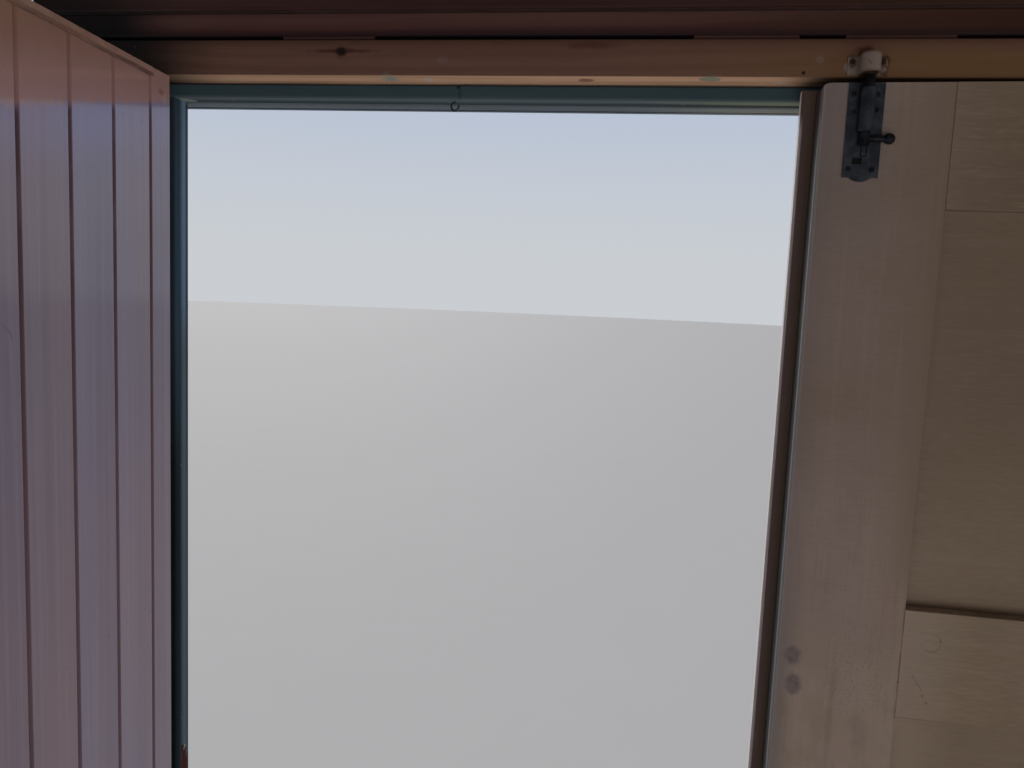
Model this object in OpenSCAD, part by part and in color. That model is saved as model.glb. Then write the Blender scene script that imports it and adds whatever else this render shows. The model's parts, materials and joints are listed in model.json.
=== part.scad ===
// Front doorway of a timber beach hut: a pair of inward-opening framed and boarded leaves
// in their timber frame, with the header and the boards above it.
// X runs to the right as seen from inside the hut, Y runs outwards and Z runs up.
// The origin is on the underside of the threshold, below the meeting line of the leaves.

/* [Doorway] */
// Height of the threshold
threshold_h = 45; // [30:1:70]
// How far the threshold reaches inwards past the frame
threshold_in = 12; // [0:1:40]
// How far the threshold reaches outwards past the casings
threshold_out = 26; // [10:1:60]
// How far the top of the threshold slopes down to its outer edge
threshold_slope = 18; // [5:1:25]
// Width of each doorpost
post_w = 63; // [45:1:100]
// Height of the header beam
header_h = 41; // [35:1:90]
// How far the header and all above it run on past the doorposts
horn = 72; // [0:1:120]
// Rounding of the arrises of the frame timbers
arris_r = 2.5; // [1:0.5:5]

/* [Leaves] */
// Width of one leaf
leaf_w = 800; // [600:10:900]
// Height of a leaf
leaf_h = 1687; // [1500:1:2000]
// Clear gap round the leaves and between them
leaf_gap = 5; // [4:0.5:8]
// Clear gap under the leaves
foot_gap = 8; // [5:1:15]
// How far the inner faces of the leaves stand inside the frame
leaf_proud = 8; // [2:1:12]
// Thickness of the stiles and rails
frame_t = 34; // [24:1:44]
// Width of the stiles
stile_w = 136; // [90:1:160]
// Height of the top rail
top_rail_h = 133; // [90:1:160]
// Height of the middle rail
middle_rail_h = 128; // [90:1:160]
// From the top of a leaf down to the top of its middle rail
middle_rail_drop = 577; // [400:1:800]
// Height of the bottom rail
bottom_rail_h = 160; // [90:1:200]
// Rounding of the arrises of the stiles and rails
leaf_arris_r = 1; // [0.5:0.5:3]
// Rounding of the free edges of the meeting stiles
meeting_arris_r = 3; // [1:0.5:6]
// Thickness of the lining panels between the stiles and rails
panel_t = 18; // [3:0.5:22]
// Angle at which the left leaf stands open
left_open_angle = 85; // [0:1:100]
// Rounding of the right leaf's top corner, worn at the meeting line
worn_corner_r = 8; // [2:1:15]
// How far from its free edge the right leaf's top has been planed to clear the header
planed_l = 230; // [100:5:400]
// How much the plane has taken off at that edge
planed_d = 3; // [1:0.5:6]

/* [Boarding] */
// Thickness of the boards
board_t = 12; // [9:1:20]
// Width that one board covers
board_w = 78; // [60:1:120]
// Width of the strip at the hinge side
edge_strip_w = 46; // [20:1:60]
// Width of the V-groove at each joint
groove_w = 7; // [3:0.5:10]
// Depth of the V-groove at each joint
groove_d = 3.5; // [1:0.5:6]
// Height of the flat band above the grooves, from the top of the leaf down to its line
top_line_drop = 10; // [6:1:25]
// Width and depth of that line
top_line_w = 2; // [1:0.5:4]
// How far the cover strip laps past the edge of the right leaf
lap = 15; // [8:1:30]

/* [Stops and outer trim] */
// Thickness of the stops, inside to outside
stop_t = 27; // [15:1:40]
// How far the side stops project into the doorway
stop_w = 28; // [15:1:40]
// How far the head stop hangs below the header
stop_drop = 17; // [12:1:40]
// Depth of the drip moulding over the doorway
drip_d = 42; // [25:1:60]
// Height of the drip moulding
drip_h = 28; // [15:1:45]
// How far the top of the drip moulding slopes down to its outer edge
drip_slope = 10; // [3:1:12]
// Width of the groove under its outer edge
drip_groove_w = 5; // [3:0.5:8]
// Thickness of the outer casings and the fascia
casing_t = 20; // [12:1:30]
// How far the casings are set back from the edge of the stops
casing_back = 8; // [4:1:20]

/* [Above the header] */
// Thickness of the packers on the header
packer_t = 3; // [2:1:8]
// Length of one packer
packer_l = 112; // [60:1:200]
// Distance from the middle of the doorway to the inner packers
packer_x_inner = 80; // [70:1:300]
// Distance from the middle of the doorway to the outer packers
packer_x_outer = 558; // [400:1:700]
// Height of the batten on the packers
batten_h = 27; // [20:1:60]
// Height of each board over the batten
upper_board_h = 95; // [70:1:150]
// Thickness of the boards over the batten
upper_board_t = 20; // [15:1:30]
// Joint between the batten and the boards
upper_joint = 3; // [1:0.5:5]
// Width of each short stud behind the upper boards
stud_w = 41; // [30:1:80]

/* [Hinges] */
// Radius of a hinge knuckle
knuckle_r = 5; // [4:0.5:7]
// Radius of a hinge pin
pin_r = 2.5; // [2:0.1:3]
// Height of one hinge
hinge_h = 75; // [50:5:120]
// Thickness of a hinge plate
hinge_plate_t = 2; // [1.5:0.1:2.2]
// Width of a hinge plate
hinge_plate_w = 32; // [24:1:38]
// Distance from a leaf's ends to the middle of the outer hinges
hinge_end = 190; // [120:5:300]
// Knuckles on each hinge, an odd number
knuckle_n = 5; // [3:2:7]

/* [Tower bolt] */
// From the edge of the right leaf to the middle of the bolt
bolt_x = 45.5; // [25:0.5:90]
// Width of the bolt's back plate
bolt_plate_w = 37; // [30:0.5:60]
// Length of the bolt's back plate
bolt_plate_l = 99; // [80:1:160]
// From the top of the leaf down to the top of the back plate
bolt_plate_drop = 3; // [3:0.5:10]
// Thickness of the plates of the bolt and its keeper
bolt_plate_t = 2; // [1:0.5:3]
// How far the rounded foot of the back plate bulges
bolt_belly = 4.5; // [2:0.5:10]
// Width of that rounded foot, between the plate's two shoulders
belly_w = 23; // [15:1:30]
// Width of the tongue that is cut free below the barrel to press on the rod
tongue_w = 4.5; // [3:0.5:8]
// Length of that tongue
tongue_l = 14; // [8:1:18]
// Width of the slit round it
tongue_slit = 1; // [0.6:0.2:2]
// From the foot of the barrel down to the tongue
tongue_gap = 10; // [4:1:12]
// From the rod's axis to the middle of the tongue
tongue_x = 1.5; // [-4:0.5:4]
// Width of the hole near the foot of the back plate
plate_hole_w = 10; // [5:0.5:14]
// Height of that hole
plate_hole_h = 7; // [4:0.5:8]
// From the foot of the back plate up to that hole
plate_hole_rise = 14; // [8:1:16]
// From the rod's axis to the middle of that hole
plate_hole_x = 4.5; // [0:0.5:8]
// Radius of the bolt's rod
rod_r = 5.5; // [4:0.5:8]
// Wall of the barrel and the keeper
barrel_wall = 2; // [1.5:0.5:4]
// Length of the barrel
barrel_l = 45; // [35:1:90]
// From the top of the back plate down to the barrel
barrel_drop = 7; // [2:1:15]
// From the top of the leaf down to the bolt's arm
arm_drop = 62; // [40:1:90]
// Radius of the bolt's arm
arm_r = 3.5; // [2:0.5:4]
// From the rod's axis to the middle of the knob
knob_reach = 25; // [20:0.5:40]
// Radius of the knob
knob_r = 6; // [4:0.5:9]
// Travel of the rod up from where it is drawn
bolt_travel = 17; // [10:1:30]
// From the tip of the rod to the mouth of the keeper
tip_gap = 2.5; // [1:0.5:5]
// Width of the keeper
keeper_w = 41; // [30:1:60]
// Height of the keeper
keeper_h = 20; // [15:1:35]
// From the underside of the header to the foot of the keeper
keeper_rise = 1; // [0.5:0.5:15]

/* [Cup hook] */
// Distance from the middle of the doorway to the hook
hook_x = 416; // [200:1:700]
// Radius of the hook's wire
hook_wire_r = 1.1; // [0.8:0.1:2]
// Radius of the hook's bend, to the middle of its wire
hook_bend_r = 4.6; // [3:0.2:8]
// Length of the hook's shank
hook_shank = 1; // [1:1:12]
// Angle that the hook's bend turns through
hook_turn = 290; // [200:5:320]

/* [Hidden] */
$fn = 48;

// Colours of the finishes
frame_green = [0.16, 0.27, 0.26];
bare_pine = [0.72, 0.54, 0.36];
brown_board = [0.42, 0.28, 0.19];
leaf_cream = [0.74, 0.70, 0.65];
leaf_white = [0.80, 0.76, 0.78];
aged_steel = [0.25, 0.26, 0.30];
keeper_white = [0.85, 0.83, 0.80];

// Small overlap for cuts that pass through a face
eps = 1;
// The pin stands clear of the leaf's inner face by its knuckle and a little more
pin_in = knuckle_r + 0.5;
// Running clearance between a pin and its knuckle, and between stacked knuckles
pin_clearance = 0.08;
knuckle_gap = 0.5;
knuckle_h = hinge_h / knuckle_n;
pin_head_r = knuckle_r * 0.8;
// Clearance between the bolt's rod and its barrel, and inside its keeper
rod_clearance = 0.3;
keeper_clearance = 2.5;

leaf_t = frame_t + board_t;
leaf_edge = leaf_gap / 2;
pin_x = leaf_edge + leaf_w + leaf_gap / 2;
pin_y = -leaf_proud - pin_in;
rebate_x = pin_x + leaf_gap / 2;
frame_x = rebate_x + post_w;
head_x = frame_x + horn;
leaf_z0 = threshold_h + foot_gap;
leaf_z1 = leaf_z0 + leaf_h;
header_z = leaf_z1 + leaf_gap;
header_top = header_z + header_h;
stop_y = leaf_t - leaf_proud + leaf_gap;
frame_y = stop_y + stop_t;
stop_z = header_z - stop_drop;
batten_z = header_top + packer_t;
boards_z = batten_z + batten_h + upper_joint;
top_z = boards_z + 2 * upper_board_h;
casing_x = rebate_x - stop_w + casing_back;
fascia_z = stop_z + drip_h;
stud_xs = [-head_x + stud_w / 2, -packer_x_outer, packer_x_outer, head_x - stud_w / 2];

// In a leaf's own frame the pin is at the origin and the leaf runs along +X
leaf_x0 = leaf_gap / 2;
leaf_x1 = leaf_x0 + leaf_w;
leaf_y0 = pin_in;
boards_y0 = leaf_y0 + frame_t;
boards_y1 = boards_y0 + board_t;
first_joint = leaf_x0 + edge_strip_w;
board_n = floor((leaf_w - edge_strip_w - lap) / board_w);
last_joint = first_joint + board_n * board_w;
middle_rail_z1 = leaf_z1 - middle_rail_drop;
hinge_zs = [leaf_z0 + hinge_end, (leaf_z0 + leaf_z1) / 2, leaf_z1 - hinge_end];

// The bolt stands on the inner face of the right leaf
plate_z1 = leaf_z1 - bolt_plate_drop;
barrel_z = plate_z1 - barrel_drop - barrel_l;
rod_x = leaf_edge + bolt_x;
rod_y = -leaf_proud - bolt_plate_t - rod_r - rod_clearance;
barrel_r = rod_r + rod_clearance + barrel_wall;
arm_z = leaf_z1 - arm_drop;
keeper_z0 = header_z + keeper_rise;
keeper_bore_r = rod_r + keeper_clearance;
rod_tip_z = keeper_z0 - tip_gap;

// Rectangle from a low corner to a high corner, with arrises rounded by r at its low X side
// and by r_high at its high X side
module rounded_section(x0, y0, x1, y1, r, r_high) {
    translate([x0 + r, y0]) square([x1 - x0 - r - r_high, y1 - y0]);
    translate([x0, y0 + r]) square([2 * r, y1 - y0 - 2 * r]);
    translate([x1 - 2 * r_high, y0 + r_high]) square([2 * r_high, y1 - y0 - 2 * r_high]);
    for (y = [y0 + r, y1 - r]) translate([x0 + r, y]) circle(r);
    for (y = [y0 + r_high, y1 - r_high]) translate([x1 - r_high, y]) circle(r_high);
}

// Upright timber between two corners
module upright(x0, y0, z0, x1, y1, z1, r, r_high = undef) {
    translate([0, 0, z0]) linear_extrude(z1 - z0)
        rounded_section(x0, y0, x1, y1, r, is_undef(r_high) ? r : r_high);
}

// Timber along X between two corners
module beam(x0, y0, z0, x1, y1, z1, r) {
    translate([x0, 0, 0]) rotate([90, 0, 90])
        linear_extrude(x1 - x0) rounded_section(y0, z0, y1, z1, r, r);
}

// Timber along X over the doorway, from horn to horn
module cross_beam(y0, z0, y1, z1, r) {
    beam(-head_x, y0, z0, head_x, y1, z1, r);
}

module threshold() {
    slope_y0 = frame_y + casing_t;
    slope_y1 = slope_y0 + threshold_out;
    color(frame_green) translate([-frame_x, 0, 0]) rotate([90, 0, 90])
        linear_extrude(2 * frame_x) polygon([
            [-threshold_in, 0], [slope_y1, 0], [slope_y1, threshold_h - threshold_slope],
            [slope_y0, threshold_h], [-threshold_in, threshold_h]]);
}

module post(side) {
    x = side < 0 ? -frame_x : rebate_x;
    color(frame_green) upright(x, 0, threshold_h, x + post_w, frame_y, header_z, arris_r);
}

module header_beam() {
    color(bare_pine) cross_beam(0, header_z, frame_y, header_top, arris_r);
}

module head_stop() {
    color(frame_green) beam(-rebate_x, stop_y, stop_z, rebate_x, frame_y, header_z, arris_r);
}

module side_stop(side) {
    x = side < 0 ? -rebate_x : rebate_x - stop_w;
    color(frame_green)
        upright(x, stop_y, threshold_h, x + stop_w, frame_y, stop_z, arris_r);
}

// Moulding with a sloped top and a drip groove under its outer edge
module head_drip() {
    y1 = frame_y + drip_d;
    color(frame_green) difference() {
        translate([-head_x, 0, 0]) rotate([90, 0, 90]) linear_extrude(2 * head_x)
            polygon([[frame_y, stop_z], [y1, stop_z], [y1, fascia_z - drip_slope],
                [frame_y + casing_t, fascia_z], [frame_y, fascia_z]]);
        translate([-head_x - eps, y1 - 2 * drip_groove_w, stop_z]) rotate([0, 90, 0])
            cylinder(r = drip_groove_w / 2, h = 2 * head_x + 2 * eps);
    }
}

module casing(side) {
    x = side < 0 ? -frame_x : casing_x;
    color(frame_green) upright(x, frame_y, threshold_h, x + frame_x - casing_x,
        frame_y + casing_t, stop_z, arris_r);
}

module front_fascia() {
    color(frame_green) cross_beam(frame_y, fascia_z, frame_y + casing_t, top_z, arris_r);
}

module head_packers() {
    color(brown_board)
        for (x = [-packer_x_outer, -packer_x_inner, packer_x_inner, packer_x_outer])
            translate([x - packer_l / 2, 0, header_top]) cube([packer_l, frame_y, packer_t]);
}

module head_batten() {
    color(brown_board) cross_beam(0, batten_z, frame_y, batten_z + batten_h, arris_r);
}

module upper_board(row) {
    z = boards_z + row * upper_board_h;
    color(brown_board) cross_beam(0, z, upper_board_t, z + upper_board_h, arris_r);
}

// Short studs that stand on the batten and carry the upper boards
module upper_studs() {
    color(brown_board) for (x = stud_xs)
        translate([x - stud_w / 2, upper_board_t, batten_z + batten_h])
            cube([stud_w, frame_y - upper_board_t, top_z - batten_z - batten_h]);
}

// Staple with two ears that the rod slides into
module bolt_keeper() {
    reach = -rod_y;
    outer_r = keeper_bore_r + barrel_wall;
    color(keeper_white) translate([rod_x, 0, keeper_z0]) difference() {
        union() {
            translate([-keeper_w / 2, -bolt_plate_t, 0])
                cube([keeper_w, bolt_plate_t, keeper_h]);
            translate([-outer_r, -reach, 0]) cube([2 * outer_r, reach, keeper_h]);
            translate([0, -reach, 0]) cylinder(r = outer_r, h = keeper_h);
        }
        translate([0, -reach, -eps]) cylinder(r = keeper_bore_r, h = keeper_h + 2 * eps);
        translate([-keeper_bore_r, -reach, -eps])
            cube([2 * keeper_bore_r, reach + eps, keeper_h + 2 * eps]);
    }
}

// Wire hook with an open bend, screwed up into the head stop
module cup_hook() {
    z = stop_z - hook_shank - hook_bend_r;
    color(aged_steel) translate([-hook_x, stop_y + stop_t / 2, z]) {
        translate([0, 0, hook_bend_r]) cylinder(r = hook_wire_r, h = hook_shank);
        rotate([90, 0, 0]) rotate([0, 0, 90]) rotate_extrude(angle = hook_turn)
            translate([hook_bend_r, 0]) circle(hook_wire_r);
    }
}

// Middles of the knuckles of one hinge half, counted up from the bottom one
function knuckle_zs(z, first) = [for (i = [first:2:knuckle_n - 1])
    z - hinge_h / 2 + (i + 0.5) * knuckle_h];

// Plate of one hinge half, beside the pin and tied to it where its own knuckles are.
// turn is -1 for the half on the frame and 1 for the half on the leaf.
module hinge_plate(turn, z, knuckles) {
    x = turn < 0 ? -leaf_gap / 2 : leaf_gap / 2 - hinge_plate_t;
    clear_y = knuckle_r + knuckle_gap;
    tall = knuckle_h - knuckle_gap;
    translate([x, clear_y, z - hinge_h / 2])
        cube([hinge_plate_t, hinge_plate_w - clear_y, hinge_h]);
    for (k = knuckles) {
        translate([x, 0, k - tall / 2]) cube([hinge_plate_t, clear_y + eps, tall]);
        translate([0, 0, k - tall / 2]) cylinder(r = knuckle_r, h = tall);
    }
}

// Frame halves of one side's hinges, each with the pin and its domed heads
module frame_hinges() {
    color(aged_steel) for (z = hinge_zs) {
        hinge_plate(-1, z, knuckle_zs(z, 0));
        translate([0, 0, z - hinge_h / 2]) cylinder(r = pin_r, h = hinge_h);
        for (end = [-1, 1]) translate([0, 0, z + end * hinge_h / 2]) sphere(pin_head_r);
    }
}

// Leaf halves of one side's hinges, with bored knuckles
module leaf_hinges() {
    color(aged_steel) for (z = hinge_zs) difference() {
        hinge_plate(1, z, knuckle_zs(z, 1));
        translate([0, 0, z - hinge_h / 2 + knuckle_h / 2])
            cylinder(r = pin_r + pin_clearance, h = hinge_h - knuckle_h);
    }
}

// Places what is drawn in a leaf's own frame at the left pin, shut
module at_left_pin() {
    translate([-pin_x, pin_y, 0]) children();
}

// Places it at the left pin, standing open
module at_left_leaf() {
    at_left_pin() rotate([0, 0, -left_open_angle]) children();
}

// Places it at the right pin, shut
module at_right_leaf() {
    translate([pin_x, pin_y, 0]) mirror([1, 0, 0]) children();
}

module hinge_stile() {
    color(leaf_cream) upright(leaf_x0, leaf_y0, leaf_z0, leaf_x0 + stile_w,
        boards_y0, leaf_z1, leaf_arris_r);
}

// Stile beside the meeting line. The left one is rebated for the cover strip of the right
// leaf, and the right one's top corner is worn round.
module meeting_stile(rebate) {
    x = leaf_x1 - stile_w;
    color(leaf_cream) difference() {
        upright(x, leaf_y0, leaf_z0, leaf_x1, boards_y0, leaf_z1,
            leaf_arris_r, meeting_arris_r);
        if (rebate) translate([leaf_x1 - lap, boards_y0 - leaf_gap, leaf_z0 - eps])
            cube([lap + eps, leaf_gap + eps, leaf_h + 2 * eps]);
        else worn_corner();
    }
}

// What wear has taken from the planed top corner at the right leaf's free edge
module worn_corner() {
    translate([leaf_x1 - worn_corner_r, boards_y0 + eps, leaf_z1 - planed_d - worn_corner_r])
        rotate([90, 0, 0]) linear_extrude(frame_t + 2 * eps) difference() {
            square(worn_corner_r + eps);
            circle(worn_corner_r);
        }
}

// Leaf parts with the top planed down towards the free edge and the lap beyond it
module planed() {
    x0 = leaf_x1 - planed_l;
    x1 = leaf_x1 + lap + eps;
    difference() {
        children();
        translate([0, boards_y1 + eps, leaf_z1]) rotate([90, 0, 0])
            linear_extrude(leaf_t + 2 * eps) polygon([[x0, 0], [leaf_x1, -planed_d],
                [x1, -planed_d], [x1, eps], [x0, eps]]);
    }
}

module rail(z0, z1) {
    color(leaf_cream) beam(leaf_x0 + stile_w, leaf_y0, z0,
        leaf_x1 - stile_w, boards_y0, z1, leaf_arris_r);
}

module top_rail() {
    rail(leaf_z1 - top_rail_h, leaf_z1);
}

module middle_rail() {
    rail(middle_rail_z1 - middle_rail_h, middle_rail_z1);
}

module bottom_rail() {
    rail(leaf_z0, leaf_z0 + bottom_rail_h);
}

// Sheet that lines the boards between the stiles and two rails
module panel(z0, z1) {
    color(leaf_cream) translate([leaf_x0 + stile_w, boards_y0 - panel_t, z0])
        cube([leaf_w - 2 * stile_w, panel_t, z1 - z0]);
}

module upper_panel() {
    panel(middle_rail_z1, leaf_z1 - top_rail_h);
}

module lower_panel() {
    panel(leaf_z0 + bottom_rail_h, middle_rail_z1 - middle_rail_h);
}

// V at every joint, cut into the outer face of the boards
function groove_points(joints) = [for (j = joints) each
    [[j + groove_w / 2, boards_y1], [j, boards_y1 - groove_d], [j - groove_w / 2, boards_y1]]];

// Tongued boards side by side, from the edge strip to x_end, under a flat band at the top
module boarding(x_end) {
    joints = [for (i = [board_n:-1:0]) first_joint + i * board_w];
    inner_joints = [for (j = joints) if (j < x_end - groove_w) j];
    color(leaf_white) difference() {
        union() {
            translate([0, 0, leaf_z0]) linear_extrude(leaf_h) polygon(concat(
                [[leaf_x0, boards_y0], [x_end, boards_y0], [x_end, boards_y1]],
                groove_points(inner_joints), [[leaf_x0, boards_y1]]));
            translate([leaf_x0, boards_y0, leaf_z1 - top_line_drop])
                cube([x_end - leaf_x0, board_t, top_line_drop]);
        }
        translate([first_joint, boards_y1 - top_line_w, leaf_z1 - top_line_drop - top_line_w])
            cube([x_end - first_joint + eps, top_line_w + eps, top_line_w]);
    }
}

// Strip on the right leaf that laps over the edge of the left one
module cover_strip() {
    color(leaf_white) upright(last_joint, boards_y0, leaf_z0, leaf_x1 + lap,
        boards_y1, leaf_z1, leaf_arris_r);
}

// Outline of the back plate from its top edge down: two shoulders and a rounded foot
module back_plate_outline() {
    belly_r = (pow(belly_w / 2, 2) + pow(bolt_belly, 2)) / (2 * bolt_belly);
    translate([-bolt_plate_w / 2, -bolt_plate_l]) square([bolt_plate_w, bolt_plate_l]);
    intersection() {
        translate([0, belly_r - bolt_plate_l - bolt_belly]) circle(belly_r, $fn = 96);
        translate([-belly_w / 2, -bolt_plate_l - bolt_belly])
            square([belly_w, 2 * bolt_belly]);
    }
}

// Slit round three sides of the tongue, which stays joined at its top
module tongue_cut() {
    difference() {
        translate([-tongue_w / 2 - tongue_slit, -tongue_l - tongue_slit])
            square([tongue_w + 2 * tongue_slit, tongue_l + tongue_slit]);
        translate([-tongue_w / 2, -tongue_l]) square([tongue_w, tongue_l + eps]);
    }
}

// Back plate with a half-round barrel, slotted at the side for the arm
module bolt_plate() {
    barrel_y = rod_y + leaf_proud;
    slot_top = arm_z + bolt_travel + arm_r + rod_clearance;
    color(aged_steel) translate([rod_x, -leaf_proud, 0]) difference() {
        union() {
            translate([0, 0, plate_z1]) rotate([90, 0, 0]) linear_extrude(bolt_plate_t)
                difference() {
                    back_plate_outline();
                    translate([tongue_x, -barrel_drop - barrel_l - tongue_gap]) tongue_cut();
                    translate([-plate_hole_x - plate_hole_w / 2, plate_hole_rise - bolt_plate_l])
                        square([plate_hole_w, plate_hole_h]);
                }
            translate([-barrel_r, barrel_y, barrel_z])
                cube([2 * barrel_r, -barrel_y, barrel_l]);
            translate([0, barrel_y, barrel_z]) cylinder(r = barrel_r, h = barrel_l);
        }
        translate([0, barrel_y, barrel_z - eps])
            cylinder(r = rod_r + rod_clearance, h = barrel_l + 2 * eps);
        translate([0, barrel_y - arm_r - rod_clearance, barrel_z - eps])
            cube([barrel_r + eps, 2 * (arm_r + rod_clearance), slot_top - barrel_z + eps]);
    }
}

// Rod with its side arm and ball knob
module bolt_rod() {
    rod_foot = arm_z - 2 * arm_r;
    color(aged_steel) translate([rod_x, rod_y, 0]) {
        translate([0, 0, rod_foot]) cylinder(r = rod_r, h = rod_tip_z - rod_foot);
        translate([0, 0, arm_z]) rotate([0, 90, 0]) cylinder(r = arm_r, h = knob_reach);
        translate([knob_reach, 0, arm_z]) sphere(knob_r);
    }
}

left_end = leaf_x1 - lap;

threshold();
post(-1);  // left_post
post(1);  // right_post
header_beam();
head_stop();
side_stop(-1);  // left_stop
side_stop(1);  // right_stop
head_drip();
casing(-1);  // left_casing
casing(1);  // right_casing
front_fascia();
head_packers();
head_batten();
upper_board(0);  // upper_board_low
upper_board(1);  // upper_board_high
upper_studs();
bolt_keeper();
cup_hook();
at_left_pin() frame_hinges();  // left_frame_hinges
at_right_leaf() frame_hinges();  // right_frame_hinges
at_left_leaf() hinge_stile();  // left_hinge_stile
at_left_leaf() meeting_stile(true);  // left_meeting_stile
at_left_leaf() top_rail();  // left_top_rail
at_left_leaf() middle_rail();  // left_middle_rail
at_left_leaf() bottom_rail();  // left_bottom_rail
at_left_leaf() upper_panel();  // left_upper_panel
at_left_leaf() lower_panel();  // left_lower_panel
at_left_leaf() boarding(left_end);  // left_boards
at_left_leaf() leaf_hinges();  // left_leaf_hinges
at_right_leaf() hinge_stile();  // right_hinge_stile
at_right_leaf() planed() meeting_stile(false);  // right_meeting_stile
at_right_leaf() planed() top_rail();  // right_top_rail
at_right_leaf() middle_rail();  // right_middle_rail
at_right_leaf() bottom_rail();  // right_bottom_rail
at_right_leaf() upper_panel();  // right_upper_panel
at_right_leaf() lower_panel();  // right_lower_panel
at_right_leaf() planed() boarding(last_joint);  // right_boards
at_right_leaf() planed() cover_strip();  // right_cover_strip
at_right_leaf() leaf_hinges();  // right_leaf_hinges
bolt_plate();
bolt_rod();
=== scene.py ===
import json
import math
import random
import bmesh
import bpy
from mathutils import Matrix, Vector


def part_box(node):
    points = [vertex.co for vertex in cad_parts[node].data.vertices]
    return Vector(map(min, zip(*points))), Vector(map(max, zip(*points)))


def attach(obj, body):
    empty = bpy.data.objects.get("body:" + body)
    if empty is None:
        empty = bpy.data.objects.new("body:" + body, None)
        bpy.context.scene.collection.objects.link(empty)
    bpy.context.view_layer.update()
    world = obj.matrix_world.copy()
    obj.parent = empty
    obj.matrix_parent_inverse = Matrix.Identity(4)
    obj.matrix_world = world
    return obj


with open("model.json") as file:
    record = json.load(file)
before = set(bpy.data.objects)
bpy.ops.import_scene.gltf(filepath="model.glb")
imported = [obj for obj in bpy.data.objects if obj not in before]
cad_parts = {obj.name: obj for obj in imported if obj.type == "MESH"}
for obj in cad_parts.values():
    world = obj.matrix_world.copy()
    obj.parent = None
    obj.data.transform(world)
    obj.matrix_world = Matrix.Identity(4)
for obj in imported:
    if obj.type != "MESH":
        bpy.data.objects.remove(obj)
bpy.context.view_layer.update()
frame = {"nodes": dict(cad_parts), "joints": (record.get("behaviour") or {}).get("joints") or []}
nodes = frame["nodes"]

# Threshold
# A softwood sill under both leaves, sloped outwards to shed the rain and painted with the frame.
# Feet have worn its top to grey wood, and grit lies in the corners.


class Field:
    """A value that varies over a surface. Arithmetic on it adds Math nodes to its material."""

    def __init__(self, shading, socket):
        self.shading = shading
        self.socket = socket

    def math(self, operation, first, second=0.0):
        return self.shading.node("Math", {"operation": operation}, {0: first, 1: second})

    def __add__(self, other):
        return self.math("ADD", self, other)

    def __sub__(self, other):
        return self.math("SUBTRACT", self, other)

    def __mul__(self, other):
        return self.math("MULTIPLY", self, other)

    def __truediv__(self, other):
        return self.math("DIVIDE", self, other)

    def __rsub__(self, other):
        return self.math("SUBTRACT", other, self)

    def __abs__(self):
        return self.math("ABSOLUTE", self)

    __radd__ = __add__
    __rmul__ = __mul__

    def least(self, other):
        return self.math("MINIMUM", self, other)

    def most(self, other):
        return self.math("MAXIMUM", self, other)


class Shading:
    """The nodes of one material, or of the light round the scene."""

    def __init__(self, tree):
        self.tree = tree

    def node(self, kind, settings, values, output=0):
        """Adds one shader node: its settings first, then the values or links of its sockets."""
        made = self.tree.nodes.new("ShaderNode" + kind)
        for name, value in settings.items():
            setattr(made, name, value)
        for socket, value in values.items():
            if isinstance(value, Field):
                self.tree.links.new(value.socket, made.inputs[socket])
            elif isinstance(value, tuple) and made.inputs[socket].type == "RGBA":
                made.inputs[socket].default_value = (*value, 1.0)
            else:
                made.inputs[socket].default_value = value
        return Field(self, made.outputs[output])

    def rise(self, value, start, end):
        """0 before start, 1 past end and smooth between them; start may be the larger one."""
        return self.node("MapRange", {"interpolation_type": "SMOOTHSTEP"},
                         {"Value": value, "From Min": start, "From Max": end})

    def mix(self, factor, first, second):
        """The first colour, or the second where factor is 1."""
        return self.node("Mix", {"data_type": "RGBA"}, {0: factor, 6: first, 7: second}, 2)


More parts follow.
